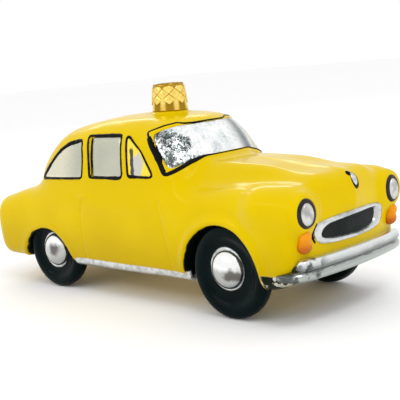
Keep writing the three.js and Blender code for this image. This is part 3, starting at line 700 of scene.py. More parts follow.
def detailed_car(x, y, z):
    a = np.abs(y)
    f = plain_car(x, y, z)
    on_side = step(a, 13.5, 15.0)
    for path in SIDE_WINDOWS.values():
        f = f + recess(x, z, path, on_side)
    turn = FAN * np.degrees(np.arctan2(y, x - FAN_X))
    f = f + recess(turn, z, SILVER_EDGE, step(x, 5.5, 7.5))
    f = f + recess(y, z, REAR_EDGE, step(x, -30, -33))
    f = f + recess(y, z, MOUTH_EDGE, step(x, 56, 58) * 2.2)
    skirt = step(a, 16.5, 18.5) * step(z, 30.5, 29.0)
    for seam in SEAMS:
        line = np.interp(z, seam[::-1, 1], seam[::-1, 0])
        f = f + 0.22 * np.exp(-((x - line) / 0.45) ** 2) * skirt * step(z, 10.2, 11.2)
    f = f - 0.35 * np.exp(-(((x + 16.2) / 1.9) ** 2 + ((z - 29.1) / 0.75) ** 2)) * on_side
    from_front = np.hypot(x - ARCH_FRONT["x"], z - ARCH_FRONT["z"])
    from_rear = np.hypot(x - ARCH_REAR["x"], z - ARCH_REAR["z"])
    lip = np.exp(-((from_front - 14.1) / 1.1) ** 2) * step(z, 9, 14)
    f = f - (0.45 * lip + 0.22 * np.exp(-((from_rear - 12.9) / 1.2) ** 2)) * step(a, 17, 20)
    f = f + 0.2 * np.exp(-((from_front - 16.2) / 1.3) ** 2) * step(z, 10, 15) * step(a, 17, 20)
    front_well = np.maximum(from_front - ARCH_FRONT["r"], ARCH_FRONT["inner"] - a)
    rear_well = np.maximum(np.maximum(np.hypot(x - REAR_AXLE["x"], z - TYRE_R) - ARCH_REAR["well"],
                                      ARCH_REAR["inner"] - a), a - ARCH_REAR["skin"])
    rear_arch = np.maximum(from_rear - ARCH_REAR["r"], ARCH_REAR["inner"] - a)
    f = smax(f, -front_well, 0.9)
    f = smax(f, -rear_arch, 1.1)
    return smax(f, -rear_well, 0.5)


on_seam = detailed_car(np.array([16.0]), np.array([-21.3]), np.array([24.0]))
print("field on a door seam:", np.round(on_seam, 2))

# %% [markdown]
# ### From field to mesh
# A surface net puts one point in each grid cell that the surface crosses and
# joins neighbouring cells with quads. The points are then slid onto the exact
# surface along the field's gradient and evened out. It suits a soft form with
# many blends, where hand-placed quads would need a seam at each one.

# %% Surface net
def gradient(field, p, h=0.02):
    g = np.empty_like(p)
    for k in range(3):
        d = np.zeros(3)
        d[k] = h
        g[:, k] = (field(*(p + d).T) - field(*(p - d).T)) / (2 * h)
    return g


def onto_surface(field, p, rounds=3):
    for _ in range(rounds):
        g = gradient(field, p)
        move = field(*p.T)[:, None] * g / np.maximum((g * g).sum(1, keepdims=True), 0.05)
        p = p - np.clip(move, -0.6, 0.6)
    return p


def surface_net(rough, fine, low, high, cell):
    """Points and quads on the zero of fine, which is only worked out near that of rough."""
    axes = [np.arange(l, h + cell, cell) for l, h in zip(low, high)]
    shape = tuple(len(axis) for axis in axes)
    grid = np.meshgrid(*axes, indexing="ij")
    value = rough(*grid)
    near = np.abs(value) < 3.2
    value[near] = fine(*(g[near] for g in grid))
    deep = (~near) & (value < 0)
    value[deep] = fine(*(g[deep] for g in grid))
    inside = value < 0
    counts = sum(inside[i:shape[0] - 1 + i, j:shape[1] - 1 + j, k:shape[2] - 1 + k].astype(np.int8)
                 for i in (0, 1) for j in (0, 1) for k in (0, 1))
    crossed = (counts > 0) & (counts < 8)
    number = np.full(crossed.shape, -1)
    number[crossed] = np.arange(crossed.sum())
    points = np.stack([g[:-1, :-1, :-1][crossed] + cell / 2 for g in grid], 1)
    quads = []
    for axis in range(3):
        a = np.moveaxis(inside, axis, 0)
        n = np.moveaxis(number, axis, 0)
        first, second = a[:-1, 1:-1, 1:-1], a[1:, 1:-1, 1:-1]
        ring = [n[:, :-1, :-1], n[:, 1:, :-1], n[:, 1:, 1:], n[:, :-1, 1:]]
        for change, order in ((first & ~second, (0, 1, 2, 3)), (~first & second, (3, 2, 1, 0))):
            picked = [ring[o][change] for o in order]
            if axis == 1:
                picked = picked[::-1]
            quads.append(np.stack(picked, 1))
    quads = np.vstack(quads)
    edges = np.vstack([quads[:, [i, (i + 1) % 4]] for i in range(4)])
    for _ in range(3):
        total, degree = np.zeros_like(points), np.zeros(len(points))
        for a, b in ((0, 1), (1, 0)):
            np.add.at(total, edges[:, a], points[edges[:, b]])
            np.add.at(degree, edges[:, a], 1)
        points = 0.4 * points + 0.6 * total / degree[:, None]
        points = onto_surface(fine, points, 2)
    return points, quads


def make_mesh(name, points, faces, finish, body=GLASS, normals=None):
    """A piece from points in millimetres and faces of three or four corners."""
    mesh = bpy.data.meshes.new(name)
    mesh.from_pydata((np.asarray(points) * MM).tolist(), [],
                     faces.tolist() if isinstance(faces, np.ndarray) else faces)
    mesh.polygons.foreach_set("use_smooth", [True] * len(mesh.polygons))
    mesh.materials.append(finish.material)
    mesh.update()
    if normals is not None:
        mesh.normals_split_custom_set_from_vertices(normals.tolist())
    piece = bpy.data.objects.new(name, mesh)
    bpy.context.scene.collection.objects.link(piece)
    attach(piece, body)
    return piece


CELL = 0.62
points, quads = surface_net(plain_car, detailed_car, (-66, -24.4, 6.5), (65.5, 24.4, 52.8), CELL)
slope = gradient(detailed_car, points)
slope /= np.linalg.norm(slope, axis=1, keepdims=True)
glass = make_mesh("glass_body", points, quads, yellow, normals=slope)
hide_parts("glass_shell")
print("glass body:", len(points), "points,", 2 * len(quads), "triangles")
print("from", points.min(0).round(1), "to", points.max(0).round(1), "mm")

# %% [markdown]
# ## Helpers for painted pieces
# Every painted area is a thin closed piece that follows the skin. A
# shrinkwrapped patch could follow it too, but its edge would be as coarse as
# its faces. Here the outline is drawn flat, and a line through each point finds
# the skin by halving. A grid between four corners of the outline fills it
# evenly, without slivers.

# %% Skin and grid
def way_out(place, far):
    """How far each line runs inside the car; place(r) gives the points at distance r."""
    low, high = np.zeros(far.shape), far
    for _ in range(30):
        middle = (low + high) / 2
        inside = plain_car(*place(middle)) < 0
        low, high = np.where(inside, middle, low), np.where(inside, high, middle)
    return low


def skin_normal(points):
    normal = gradient(plain_car, points.reshape(-1, 3)).reshape(points.shape)
    return normal / np.linalg.norm(normal, axis=-1, keepdims=True)


def skin(axis, flat, sign, level=0.0):
    """Points on the car's skin over flat points, and its normals.

    Flat points are (y, z) for axis "x", (x, z) for "y", (x, y) for "z", and
    (angle round the cabin in mm, z) for "fan".
    """
    flat = np.asarray(flat, float)
    u, v = flat[..., 0], flat[..., 1]
    turn = np.radians(u / FAN)
    place = {"x": lambda r: (sign * r, u, v), "y": lambda r: (u, sign * r, v),
             "z": lambda r: (u, v, 30 + sign * r),
             "fan": lambda r: (FAN_X + r * np.cos(turn), r * np.sin(turn), v)}[axis]
    reach = way_out(place, np.full(u.shape, {"x": 75.0, "fan": 40.0}.get(axis, 26.0)))
    points = np.stack(place(reach), -1)
    normal = skin_normal(points)
    return points + normal * np.asarray(level)[..., None], normal


def stretch(path, start, stop, count):
    """Part of a closed outline as evenly spaced points."""
    part = np.roll(path, -start, 0)[:(stop - start) % len(path) + 1]
    run = np.concatenate([[0], np.cumsum(np.linalg.norm(np.diff(part, axis=0), axis=1))])
    at = np.linspace(0, run[-1], count)
    return np.stack([np.interp(at, run, part[:, 0]), np.interp(at, run, part[:, 1])], 1)


def filled(outline, across, upwards):
    """A grid of flat points that fills an outline, between its four corners."""
    path = resampled(np.asarray(outline, float), 400)
    ahead = np.roll(path, -1, 0)
    if np.sum(path[:, 0] * ahead[:, 1] - path[:, 1] * ahead[:, 0]) < 0:
        path = path[::-1]
    low, high = path.min(0), path.max(0)
    corners = [np.argmin(np.linalg.norm((path - corner) / (high - low), axis=1))
               for corner in (low, (high[0], low[1]), high, (low[0], high[1]))]
    bottom = stretch(path, corners[0], corners[1], across)
    right = stretch(path, corners[1], corners[2], upwards)
    top = stretch(path, corners[2], corners[3], across)[::-1]
    left = stretch(path, corners[3], corners[0], upwards)[::-1]
    u = np.linspace(0, 1, across)[None, :, None]
    v = np.linspace(0, 1, upwards)[:, None, None]
    edges = (1 - v) * bottom[None] + v * top[None] + (1 - u) * left[:, None] + u * right[:, None]
    twice = ((1 - u) * (1 - v) * bottom[0] + u * (1 - v) * bottom[-1]
             + (1 - u) * v * top[0] + u * v * top[-1])
    return edges - twice


def outward(points, faces):
    """The faces, turned so that the closed piece they make points outwards."""
    points = np.asarray(points)
    a, b, c = (points[[face[i] for face in faces]] for i in range(3))
    fourth = points[[face[-1] for face in faces]]
    volume = np.sum(a * np.cross(b, c)) + np.sum(a * np.cross(c, fourth))
    return faces if volume > 0 else [face[::-1] for face in faces]


def slab(name, front, normal, thickness, finish, body=GLASS):
    """A closed piece from a grid of front points and the same grid moved inwards."""
    rows, cols = front.shape[:2]
    points = np.vstack([front.reshape(-1, 3), (front - normal * thickness).reshape(-1, 3)])
    number = np.arange(rows * cols).reshape(rows, cols)
    a, b, c, d = number[:-1, :-1], number[:-1, 1:], number[1:, 1:], number[1:, :-1]
    faces = np.stack([a, b, c, d], -1).reshape(-1, 4)
    rim = np.concatenate([number[0, :-1], number[:-1, -1], number[-1, :0:-1], number[:0:-1, 0]])
    ahead, depth = np.roll(rim, -1), rows * cols
    walls = np.stack([ahead, rim, rim + depth, ahead + depth], 1)
    faces = np.vstack([faces, faces[:, ::-1] + depth, walls]).tolist()
    return make_mesh(name, points, outward(points, faces), finish, body)


def painted(name, outline, axis, sign, finish, level, bulge=0.0, grid=(26, 26), thickness=0.9):
    """A painted area: a thin closed piece on the skin inside an outline."""
    flat = filled(outline, *grid)
    u, v = np.linspace(-1, 1, grid[0])[None, :], np.linspace(-1, 1, grid[1])[:, None]
    edge = np.maximum(np.abs(u), np.abs(v))
    height = level - 0.1 * step(edge, 0.86, 1.0) + bulge * (1 - u * u) * (1 - v * v)
    return slab(name, *skin(axis, flat, sign, height), thickness, finish)


SIDES = (("right", -1), ("left", 1))
door_box = [[round(c / MM, 1) for c in corner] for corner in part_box("door_window_right")]
print("box of the right door window in the CAD:", door_box)

# %% [markdown]
# ### Windows and screens
# The side windows are bare mirror glass. A strip at the rear of each door
# window stays yellow. The windscreen's silvering stops short of its outline at
# the pillars, and the vent windows are brushed over so that only a patch of
# mirror is left. They could be areas of the body's own material, but as pieces
# they keep crisp edges that don't depend on the body's mesh.

# %% Windows
DOOR_GLASS = [(-12.7, 45.8), (-0.5, 45.9), (0.9, 35.3), (0.1, 34.8), (-11.5, 34.8)]
for side, sign in SIDES:
    for name, path, finish in (("quarter", inset(SIDE_WINDOWS["quarter"], 0.25), window),
                               ("door", rounded(DOOR_GLASS, 0.8), window),
                               ("vent", inset(SIDE_WINDOWS["vent"], 0.2), vent_glass)):
        piece = painted(f"{name}_glass_{side}", path, "y", sign, finish, -0.08)
        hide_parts(f"{name}_window_{side}")

piece = painted("windscreen_silvering", SILVER_EDGE, "fan", 1, crackle, -0.08, grid=(90, 34))
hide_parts("windscreen")
piece = painted("rear_window_glass", inset(REAR_EDGE, 0.25), "x", -1, window, -0.08, grid=(50, 24))
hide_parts("rear_window")
print("door glass is", round(DOOR_GLASS[2][0] - DOOR_GLASS[0][0], 1), "mm long of the door window's",
      round(DOOR[2][0] - DOOR[0][0], 1))

# %% [markdown]
# ### Brush lines
# The black outlines are drawn with a fine brush after the lacquer, so they
# stand slightly proud, waver, and swell where the brush was pressed. A curve
# with a round bevel would lie there like wire. Each line is a path of points
# with a width, and Geometry Nodes sweep a circle along it. The circle is large
# and its centre lies deep, so that only a low flat crest of the chosen width
# comes through the skin.

# %% A tube along a path
def add_input(group, name, kind):
    return group.interface.new_socket(name=name, in_out="INPUT", socket_type=kind).identifier


def sweep_tree():
    group = bpy.data.node_groups.new("swept_path", "GeometryNodeTree")
    add_input(group, "Path", "NodeSocketGeometry")
    keys = {"Sides": add_input(group, "Sides", "NodeSocketInt"),
            "Material": add_input(group, "Material", "NodeSocketMaterial")}
    group.interface.new_socket(name="Swept", in_out="OUTPUT", socket_type="NodeSocketGeometry")
    tree = Tree(group)
    given = group.nodes.new("NodeGroupInput")
    path, sides, material = (Sock(tree, given.outputs[i]) for i in range(3))
    curve = tree.node("GeometryNodeMeshToCurve", {}, [path])
    circle = tree.node("GeometryNodeCurvePrimitiveCircle", {"mode": "RADIUS"},
                       {"Resolution": sides, "Radius": MM})
    size = tree.node("GeometryNodeInputNamedAttribute", {"data_type": "FLOAT"}, {"Name": "size"})
    tube = tree.node("GeometryNodeCurveToMesh", {},
                     {"Curve": curve, "Profile Curve": circle, "Scale": size, "Fill Caps": True})
    whole = tree.node("GeometryNodeRealizeInstances", {}, {"Geometry": tube})
    done = tree.node("GeometryNodeSetMaterial", {}, {"Geometry": whole, "Material": material})
    tree.node("NodeGroupOutput", {}, [done])
    return group, keys


def bake(piece):
    """The piece's modifiers turned into a plain mesh."""
    evaluated = piece.evaluated_get(bpy.context.evaluated_depsgraph_get())
    mesh = bpy.data.meshes.new_from_object(evaluated)
    piece.modifiers.clear()
    piece.data = mesh
    mesh.polygons.foreach_set("use_smooth", [True] * len(mesh.polygons))


SWEEP, SWEEP_KEYS = sweep_tree()


def swept(name, paths, finish, sides=48, body=GLASS):
    """Tubes along paths; each is (points in mm, radii in mm, closed or not)."""
    points, sizes, edges = [], [], []
    for path, size, closed in paths:
        start, count = len(points), len(path)
        points.extend((np.asarray(path) * MM).tolist())
        sizes.extend(np.broadcast_to(size, count).tolist())
        edges.extend((start + i, start + (i + 1) % count)
                     for i in range(count if closed else count - 1))
    mesh = bpy.data.meshes.new(name)
    mesh.from_pydata(points, edges, [])
    mesh.attributes.new("size", "FLOAT", "POINT").data.foreach_set("value", sizes)
    piece = bpy.data.objects.new(name, mesh)
    bpy.context.scene.collection.objects.link(piece)
    modifier = piece.modifiers.new("sweep", "NODES")
    modifier.node_group = SWEEP
    modifier[SWEEP_KEYS["Sides"]] = sides
    modifier[SWEEP_KEYS["Material"]] = finish.material
    bake(piece)
    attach(piece, body)
    return piece


CREST = 0.2


def brush_line(flat, axis, sign, half_width, closed=True, press=0.16, turn=0.0):
    """A brush line on the skin, ready to be swept: points, radii and closed."""
    t = np.linspace(0, 2 * np.pi, len(flat), endpoint=not closed) + turn
    waver = (1 + press * np.sin(3 * t + 1) + 0.6 * press * np.sin(8 * t + 2)
             + 0.4 * press * np.sin(17 * t))
    width = np.asarray(half_width) * waver
    if not closed:
        width = width * (0.35 + 0.65 * np.sin(np.linspace(0, np.pi, len(flat))) ** 0.4)
    radius = (width ** 2 + CREST ** 2) / (2 * CREST)
    points, normal = skin(axis, flat, sign)
    return points - normal * (radius - CREST)[:, None], radius, closed


print("sweep tree:", len(SWEEP.nodes), "nodes")

# %% [markdown]
# ### The side windows' lines
# The painter went round each window once, pressing harder on the quarter
# window's curve and along the door window's top and bottom, and drew one more
# line inside the door window. The widths are arrays along the paths, because a
# brush line has no single width.

# %% Outlines of the side windows
for side, sign in SIDES:
    quarter = resampled(SIDE_WINDOWS["quarter"], 150)
    on_curve = step(quarter[:, 1] - 0.52 * quarter[:, 0], 50.5, 54.5) * step(quarter[:, 0], -16.5, -20)
    door = resampled(SIDE_WINDOWS["door"], 140)
    flat_edges = np.maximum(step(door[:, 1], 45.2, 45.9), step(door[:, 1], 35.6, 34.9))
    vent = resampled(SIDE_WINDOWS["vent"], 120)
    inner = np.stack([np.linspace(-12.85, -11.75, 40) + 0.1 * np.sin(np.linspace(0, 9, 40)),
                      np.linspace(45.6, 35.0, 40)], 1)
    low_vent = step(vent[:, 1], 36.2, 35.4)
    swept(f"window_outlines_{side}", [
        brush_line(quarter, "y", sign, 0.27 + 0.36 * on_curve),
        brush_line(door, "y", sign, 0.26 + 0.14 * flat_edges, turn=1.0),
        brush_line(inner, "y", sign, 0.27, closed=False),
        brush_line(vent, "y", sign, 0.28 + 0.1 * low_vent, turn=2.0)], black)
print("side outlines drawn")

# %% [markdown]
# ### The screens' lines
# The windscreen's line is thin over the top, and thick at the right-hand pillar
# and the lower corner, where the brush lay flat. A width could be typed for
# each point. It is built from smooth steps along the outline instead, which
# keeps every change in width gradual.

# %% Outlines of the two screens
line = resampled(rounded(SCREEN, 0.5), 300)
near = -line[:, 0] / FAN
pillar = step(np.abs(line[:, 0]) / FAN, 41.5, 44.5) * step(line[:, 1], 46.9, 45.8)
bottom = step(line[:, 1], 42, 40) * (1 - pillar)
width = (0.18 + 0.16 * step(near, 0, 30) + 0.28 * pillar * step(near, -5, 5) + 0.08 * pillar
         + 0.18 * bottom * step(near, 8, 22))
back_line = resampled(REAR_EDGE, 140)
swept("screen_outlines", [brush_line(line, "fan", 1, width),
                          brush_line(back_line, "x", -1, 0.34, turn=0.5)], black)
print("screen outline, widest:", round(float(2 * width.max()), 2), "mm")

# %% [markdown]
# ### Turned and lofted pieces
# Tyres, hub caps and lamps are round, so each is a profile turned about its
# axis. Bumpers, the cap and the grille frame are rings of points joined in
# order. Spin or a Screw modifier could do the first, but one function does
# both, and closes the ends with a pole or joins the last ring to the first, so
# that no seam is left open.

# %% Loft helpers
def eased(points, per_span=5, closed=False):
    """A smooth curve through points, which passes each one."""
    pts = np.asarray(points, float)
    if closed:
        pts = np.vstack([pts[-1:], pts, pts[:2]])
    else:
        pts = np.vstack([2 * pts[0] - pts[1], pts, 2 * pts[-1] - pts[-2]])
    out = []
    for p0, p1, p2, p3 in zip(pts, pts[1:], pts[2:], pts[3:]):
        for t in np.linspace(0, 1, per_span, endpoint=False):
            out.append(0.5 * (2 * p1 + (p2 - p0) * t + (2 * p0 - 5 * p1 + 4 * p2 - p3) * t**2
                              + (3 * p1 - p0 - 3 * p2 + p3) * t**3))
    if not closed:
        out.append(pts[-2])
    return np.array(out)


def loft(name, rings, finish, body=GLASS, closed=False):
    """Rings of points joined in order; the ends close to a pole, or to each other."""
    rings = np.asarray(rings, float)
    count, around = rings.shape[:2]
    points = rings.reshape(-1, 3)
    faces = []
    for i in range(count if closed else count - 1):
        a, b = i * around, (i + 1) % count * around
        faces += [(a + j, a + (j + 1) % around, b + (j + 1) % around, b + j) for j in range(around)]
    if not closed:
        points = np.vstack([points, rings[0].mean(0), rings[-1].mean(0)])
        first, last, end = len(points) - 2, len(points) - 1, (count - 1) * around
        faces += [(first, (j + 1) % around, j) for j in range(around)]
        faces += [(last, end + j, end + (j + 1) % around) for j in range(around)]
    return make_mesh(name, points, outward(points, faces), finish, body)


def turned(name, profile, centre, axis, finish, body=GLASS, closed=False, around=96,
           oval=(1.0, 1.0), waver=0.0, turn=0.0):
    """A profile of (radius, height) turned about an axis through centre."""
    axis = np.asarray(axis, float)
    across = np.array([0, 0, 1.0]) if abs(axis[2]) < 0.5 else np.array([1.0, 0, 0])
    across = across - axis * (across @ axis)
    across /= np.linalg.norm(across)
    other = np.cross(axis, across)
    t = np.linspace(0, 2 * np.pi, around, endpoint=False)
    swing = 1 + waver * (np.sin(2 * t + turn) + 0.7 * np.sin(3 * t + 2 * turn) + 0.4 * np.sin(7 * t))
    spoke = ((np.cos(t) * swing * oval[0])[:, None] * across
             + (np.sin(t) * swing * oval[1])[:, None] * other)
    rings = [np.asarray(centre) + radius * spoke + height * axis for radius, height in profile]
    return loft(name, rings, finish, body, closed)


print("loft helpers ready")

# %% [markdown]
# ### Wheels
# The wheels are part of the same bubble and painted. A tyre has a full rounded
# sidewall and a shallow dish inside it. The hub cap is a silvered dome with a
# flat silver ring round it, not quite centred, since the mould was cut by hand.
# A real car's wheel would be built from rim, tyre and bolts. Here each painted
# zone is one turned piece, and the small shifts off centre are numbers in a
# table.

# %% Wheels
TYRE = eased([(9.4, 0.5), (10.9, 1.3), (11.75, 2.5), (12.0, 3.7), (12.0, 4.7), (11.7, 5.4),
              (11.1, 5.85), (10.2, 6.05), (9.2, 5.9), (8.4, 5.4), (7.6, 5.0), (6.3, 4.9)], 4)
RING = eased([(4.6, 4.2), (5.6, 4.2), (5.68, 4.8), (5.4, 5.15), (5.05, 5.2), (4.7, 5.0)], 3, True)
DOME_R, DOME_RISE, DOME_BASE = 5.05, 3.0, 5.0
dome = [(4.4, 3.6), (DOME_R, 4.4)] + [
    (DOME_R * math.cos(a), DOME_BASE + DOME_RISE * math.sin(a)) for a in np.linspace(0, 1.5, 14)]
# end, axle, tyre's shift along the car, how far it stands out, hub's shift, ring's shift
WHEELS = (("front", FRONT_AXLE, 0.0, 0.0, (-0.3, 0.75), (-0.5, 0, 0)),
          ("rear", REAR_AXLE, -0.4, 0.4, (0.1, -0.35), (-1.0, 0, -0.3)))
for end, axle, along_car, stand_out, (hub_x, hub_z), ring_shift in WHEELS:
    for side, sign in SIDES:
        inner_face = sign * (axle["face"] - TYRE_W + stand_out)
        out = (0, sign, 0)
        tyre = turned(f"tyre_{end}_{side}_paint", [(1.0, 0.4), *TYRE, (1.0, 4.8)],
                      (axle["x"] + along_car, inner_face, TYRE_R), out, tyre_black)
        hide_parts(f"tyre_{end}_{side}")
        hub = (axle["x"] + hub_x, inner_face, TYRE_R + hub_z)
        ring = turned(f"hub_ring_{end}_{side}_paint", RING, np.add(hub, ring_shift), out, silver,
                      closed=True, waver=0.008, turn=1.0)
        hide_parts(f"hub_ring_{end}_{side}")
        cap = turned(f"hub_dome_{end}_{side}_silvering", dome, hub, out, hub_silver)
        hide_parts(f"hub_dome_{end}_{side}")
print("tyre profile:", len(TYRE), "points; hub dome:", len(dome))

# %% [markdown]
# ### Headlamps
# A headlamp is a shallow pearly dome with a brown-black ring brushed round it.
# Slices of a sphere and a torus would be too regular, so both are turned from
# profiles, made slightly oval and wavering, and tilted outwards with the wing.

# %% Lamps
LAMP = {"x": 63.0, "y": 18.1, "z": 27.75}
lens_profile = [(2.3, -2.0), (2.65, -1.0), (2.66, 0.25), (2.45, 0.72), (2.05, 1.06), (1.5, 1.3),
                (0.9, 1.45), (0.35, 1.5)]
socket_profile = eased([(3.1, -2.5), (3.5, -1.2), (3.55, -0.1), (3.3, 0.32), (2.9, 0.5),
                        (2.5, 0.52), (1.5, 0.5)], 3)
for side, sign, wide, shift in (("right", -1, 0.97, 0.45), ("left", 1, 0.88, 0.3)):
    tilt = np.array([0.995, sign * 0.05, 0.04])
    tilt /= np.linalg.norm(tilt)
    centre = np.array((LAMP["x"], sign * LAMP["y"] - shift, LAMP["z"]))
    rim = turned(f"headlight_outline_{side}", socket_profile, centre, tilt, brown_black,
                 oval=(1.0, wide), waver=0.01, turn=2 + sign)
    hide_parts(f"headlight_rim_{side}")
    glass_eye = turned(f"headlight_glass_{side}", lens_profile, centre + (0, -0.22, -0.15), tilt,
                       lamp_silver, oval=(1.06, wide - 0.14), waver=0.008, turn=sign)
    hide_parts(f"headlight_lens_{side}")
print("lamp outline:", len(socket_profile), "points; lamp glass:", len(lens_profile))

# %% [markdown]
# ### Indicators
# Each indicator is a pair of drops moulded in the glass below the lamp and
# painted orange. Two spheres pushed into each other would leave a sharp crease.
# A soft minimum melts them together, and the surface net that made the body
# makes their mesh.

# %% Indicators
DROPS = ((61.4, 18.2, 19.9, 1.9), (61.9, 18.4, 22.1, 1.6))


def drops(sign):
    def field(x, y, z):
        low, high = (np.sqrt((x - cx) ** 2 + (y - sign * cy) ** 2 + (z - cz) ** 2) - radius
                     for cx, cy, cz, radius in DROPS)
        return smin(low, high, 0.5)
    return field


for side, sign in SIDES:
    middle = np.array([61.6, sign * 18.2, 21.2])
    drop_points, drop_faces = surface_net(drops(sign), drops(sign), middle - 3.6, middle + 3.6, 0.3)
    piece = make_mesh(f"indicator_drops_{side}", drop_points,
                      outward(drop_points, drop_faces.tolist()), orange)
    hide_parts(f"indicator_{side}")
print("indicator drops:", len(drop_points), "points each")

# %% [markdown]
# ### Grille
# The grille is a raised silver frame with a black mouth inside it. A bevelled
# curve could follow the outline, but its section would be the same all round.
# Here each ring of the frame is a mix of the outer and the inner outline,
# lifted off the skin, so the frame is as wide or narrow as the two outlines
# leave it, and its front follows the nose.

# %% Grille
mouth = painted("grille_mouth_paint", inset(MOUTH_EDGE, -0.4), "x", 1, mouth_black, -0.3,
                grid=(60, 22))
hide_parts("grille_mouth")


def by_angle(outline, count, centre):
    """An outline as points at even angles round a centre, drawn out sideways."""
    path = resampled(np.asarray(outline), 1200)
    angle = np.arctan2((path[:, 1] - centre[1]) * 3.5, path[:, 0] - centre[0])
    order = np.argsort(angle)
    at = np.linspace(-np.pi, np.pi, count, endpoint=False)
    return np.stack([np.interp(at, angle[order], path[order, k], period=2 * np.pi) for k in (0, 1)], 1)


FRAME_SECTION = [(0.0, -0.25), (0.06, 0.28), (0.22, 0.5), (0.45, 0.58), (0.7, 0.5), (0.88, 0.25),
                 (1.0, -0.25), (1.03, -0.9), (0.5, -1.1), (0.0, -1.0)]
middle = (-0.6, 22.0)
outer = by_angle(rounded(SURROUND, 0.8), 180, middle)
inner = by_angle(MOUTH_EDGE, 180, middle)
rings = [skin("x", (1 - t) * outer + t * inner, 1, level)[0]
         for t, level in eased(FRAME_SECTION, 2, True)]
frame_piece = loft("grille_frame", rings, silver, closed=True)
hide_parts("grille_surround")
shadow = [(-14.5, 24.7), (-15.25, 23.7), (-15.35, 22.2), (-15.05, 20.9), (-14.5, 19.9)]
swept("grille_shadow_line", [brush_line(eased(shadow, 8), "x", 1, 0.42, closed=False)], black)
print("grille frame:", len(rings), "rings of", len(outer))

# %% [markdown]
# ### Badge, tail lamps and door handles
# The badge is a silver drop over a larger black one, which shows as a shadow on
# its lower right. The tail lamps are red drops with a black line round them,
# and each door handle is a low bump in the yellow. Scaled spheres would sink
# unevenly into the curved skin, so the function that paints the windows makes
# them, with a bulge.

# %% Badge, tail lamps and door handles
def ellipse(centre, half, lean=0.0, count=48):
    t = np.linspace(0, 2 * np.pi, count, endpoint=False)
    u, v = half[0] * np.cos(t), half[1] * np.sin(t)
    return np.stack([centre[0] + u * math.cos(lean) - v * math.sin(lean),
                     centre[1] + u * math.sin(lean) + v * math.cos(lean)], 1)


painted("badge_shadow", ellipse((1.25, 32.4), (1.6, 2.15), 0.3), "x", 1, black, 0.12, 0.1)
badge = painted("badge_drop", ellipse((0.9, 32.75), (1.1, 1.55), 0.3), "x", 1, silver, 0.26, 0.3)
painted("badge_dot", ellipse((-0.15, 34.35), (0.7, 0.55)), "x", 1, black, 0.1, 0.12, grid=(12, 12))
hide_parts("bonnet_badge")
for side, sign in SIDES:
    lamp = painted(f"tail_lamp_drop_{side}", ellipse((sign * 15.4, 22.0), (1.6, 2.3)), "x", -1,
                   red, 0.05, 0.85)
    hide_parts(f"tail_lamp_{side}")
    swept(f"tail_lamp_outline_{side}", [brush_line(
        ellipse((sign * 15.4, 22.0), (1.7, 2.4)), "x", -1, 0.26)], black)
    grip = painted(f"door_handle_bump_{side}", ellipse((-16.0, 29.0), (2.3, 0.62)), "y", sign,
                   yellow, -0.02, 0.38)
    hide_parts(f"door_handle_{side}")
print("badge:", len(badge.data.polygons), "faces; tail lamp:", len(lamp.data.polygons))

# %% [markdown]
# ### Bumpers
# A bumper is one section swept along a path in plan. The section has a bright
# rounded upper part, a groove, and a thinner roll below. The ends are cut at a
# slant: the lower edge wraps further back along the wing than the upper one. A
# bevelled curve could sweep the section but not slant its ends, so the rings
# are written out.

# %% Bumpers
def plan_curve(half):
    """A smooth curve in plan through (y, x) points of its right half, with its length."""
    right_half = eased(half, 12)
    path = np.vstack([right_half[::-1] * (-1, 1), right_half[1:]])[:, ::-1]
    run = np.concatenate([[0], np.cumsum(np.linalg.norm(np.diff(path, axis=0), axis=1))])
    return path, run - run[-1] / 2


def bumper(name, half, section, middle_z, half_height, cut, facing, node, stations=130):
    """A section of (depth, height) carried along a plan curve; cut slants its ends."""
    path, run = plan_curve(half)
    tangent = np.gradient(path, axis=0)
    tangent /= np.linalg.norm(tangent, axis=1, keepdims=True)
    away = np.stack([tangent[:, 1], -tangent[:, 0]], 1)
    away *= np.sign(away[len(away) // 2, 0] * facing)
    reach = run[-1]
    rings = []
    for s in np.linspace(-1, 1, stations):
        at = np.array([s * (reach - cut * step(height, -0.5, 0.15)) for _, height in section])
        soft = 1 - 0.75 * step(abs(s), 0.965, 1.0) ** 2
        ring = [(np.interp(a, run, path[:, 0]) - soft * depth * np.interp(a, run, away[:, 0]),
                 np.interp(a, run, path[:, 1]) - soft * depth * np.interp(a, run, away[:, 1]),
                 middle_z + half_height * height * (1 - 0.1 * step(abs(s), 0.96, 1.0)))
                for a, (depth, height) in zip(at, section)]
        rings.append(ring)
    piece = loft(name, rings, chrome)
    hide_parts(node)
    return piece


SECTION = eased([(0.3, 1.0), (-0.55, 0.93), (-1.05, 0.7), (-1.22, 0.4), (-1.12, 0.1), (-0.72, -0.12),
                 (-0.78, -0.24), (-1.12, -0.4), (-1.2, -0.62), (-0.95, -0.86), (-0.2, -1.0), (2.2, -0.96),
                 (3.0, 0.0), (2.4, 0.96)], 4, True)
front = bumper("front_bumper_chrome", [(0, 63.7), (6, 63.55), (12, 63.1), (17, 62.45), (20.0, 61.55),
                                       (21.6, 60.2), (22.2, 58.4), (22.25, 55.8)],
               SECTION, 14.3, 2.55, 6.4, 1, "front_bumper")
bumper("rear_bumper_chrome", [(0, -63.4), (6, -63.3), (11, -62.9), (14.5, -62.2), (16.3, -61.2)],
       SECTION * (0.75, 1), 13.2, 2.2, 1.2, -1, "rear_bumper")
front_box = [[round(c / MM, 1) for c in front.bound_box[corner]] for corner in (0, 6)]
print("front bumper box in mm:", front_box)

# %% [markdown]
# ### Sills
# The sill is a silver strip that wraps under the body's lower edge. It could be
# painted on the body, but the edge of the paint would then be as coarse as the
# body's faces. Lines are drawn outwards from an axis inside the sill, and the
# strip lies where they leave the body.

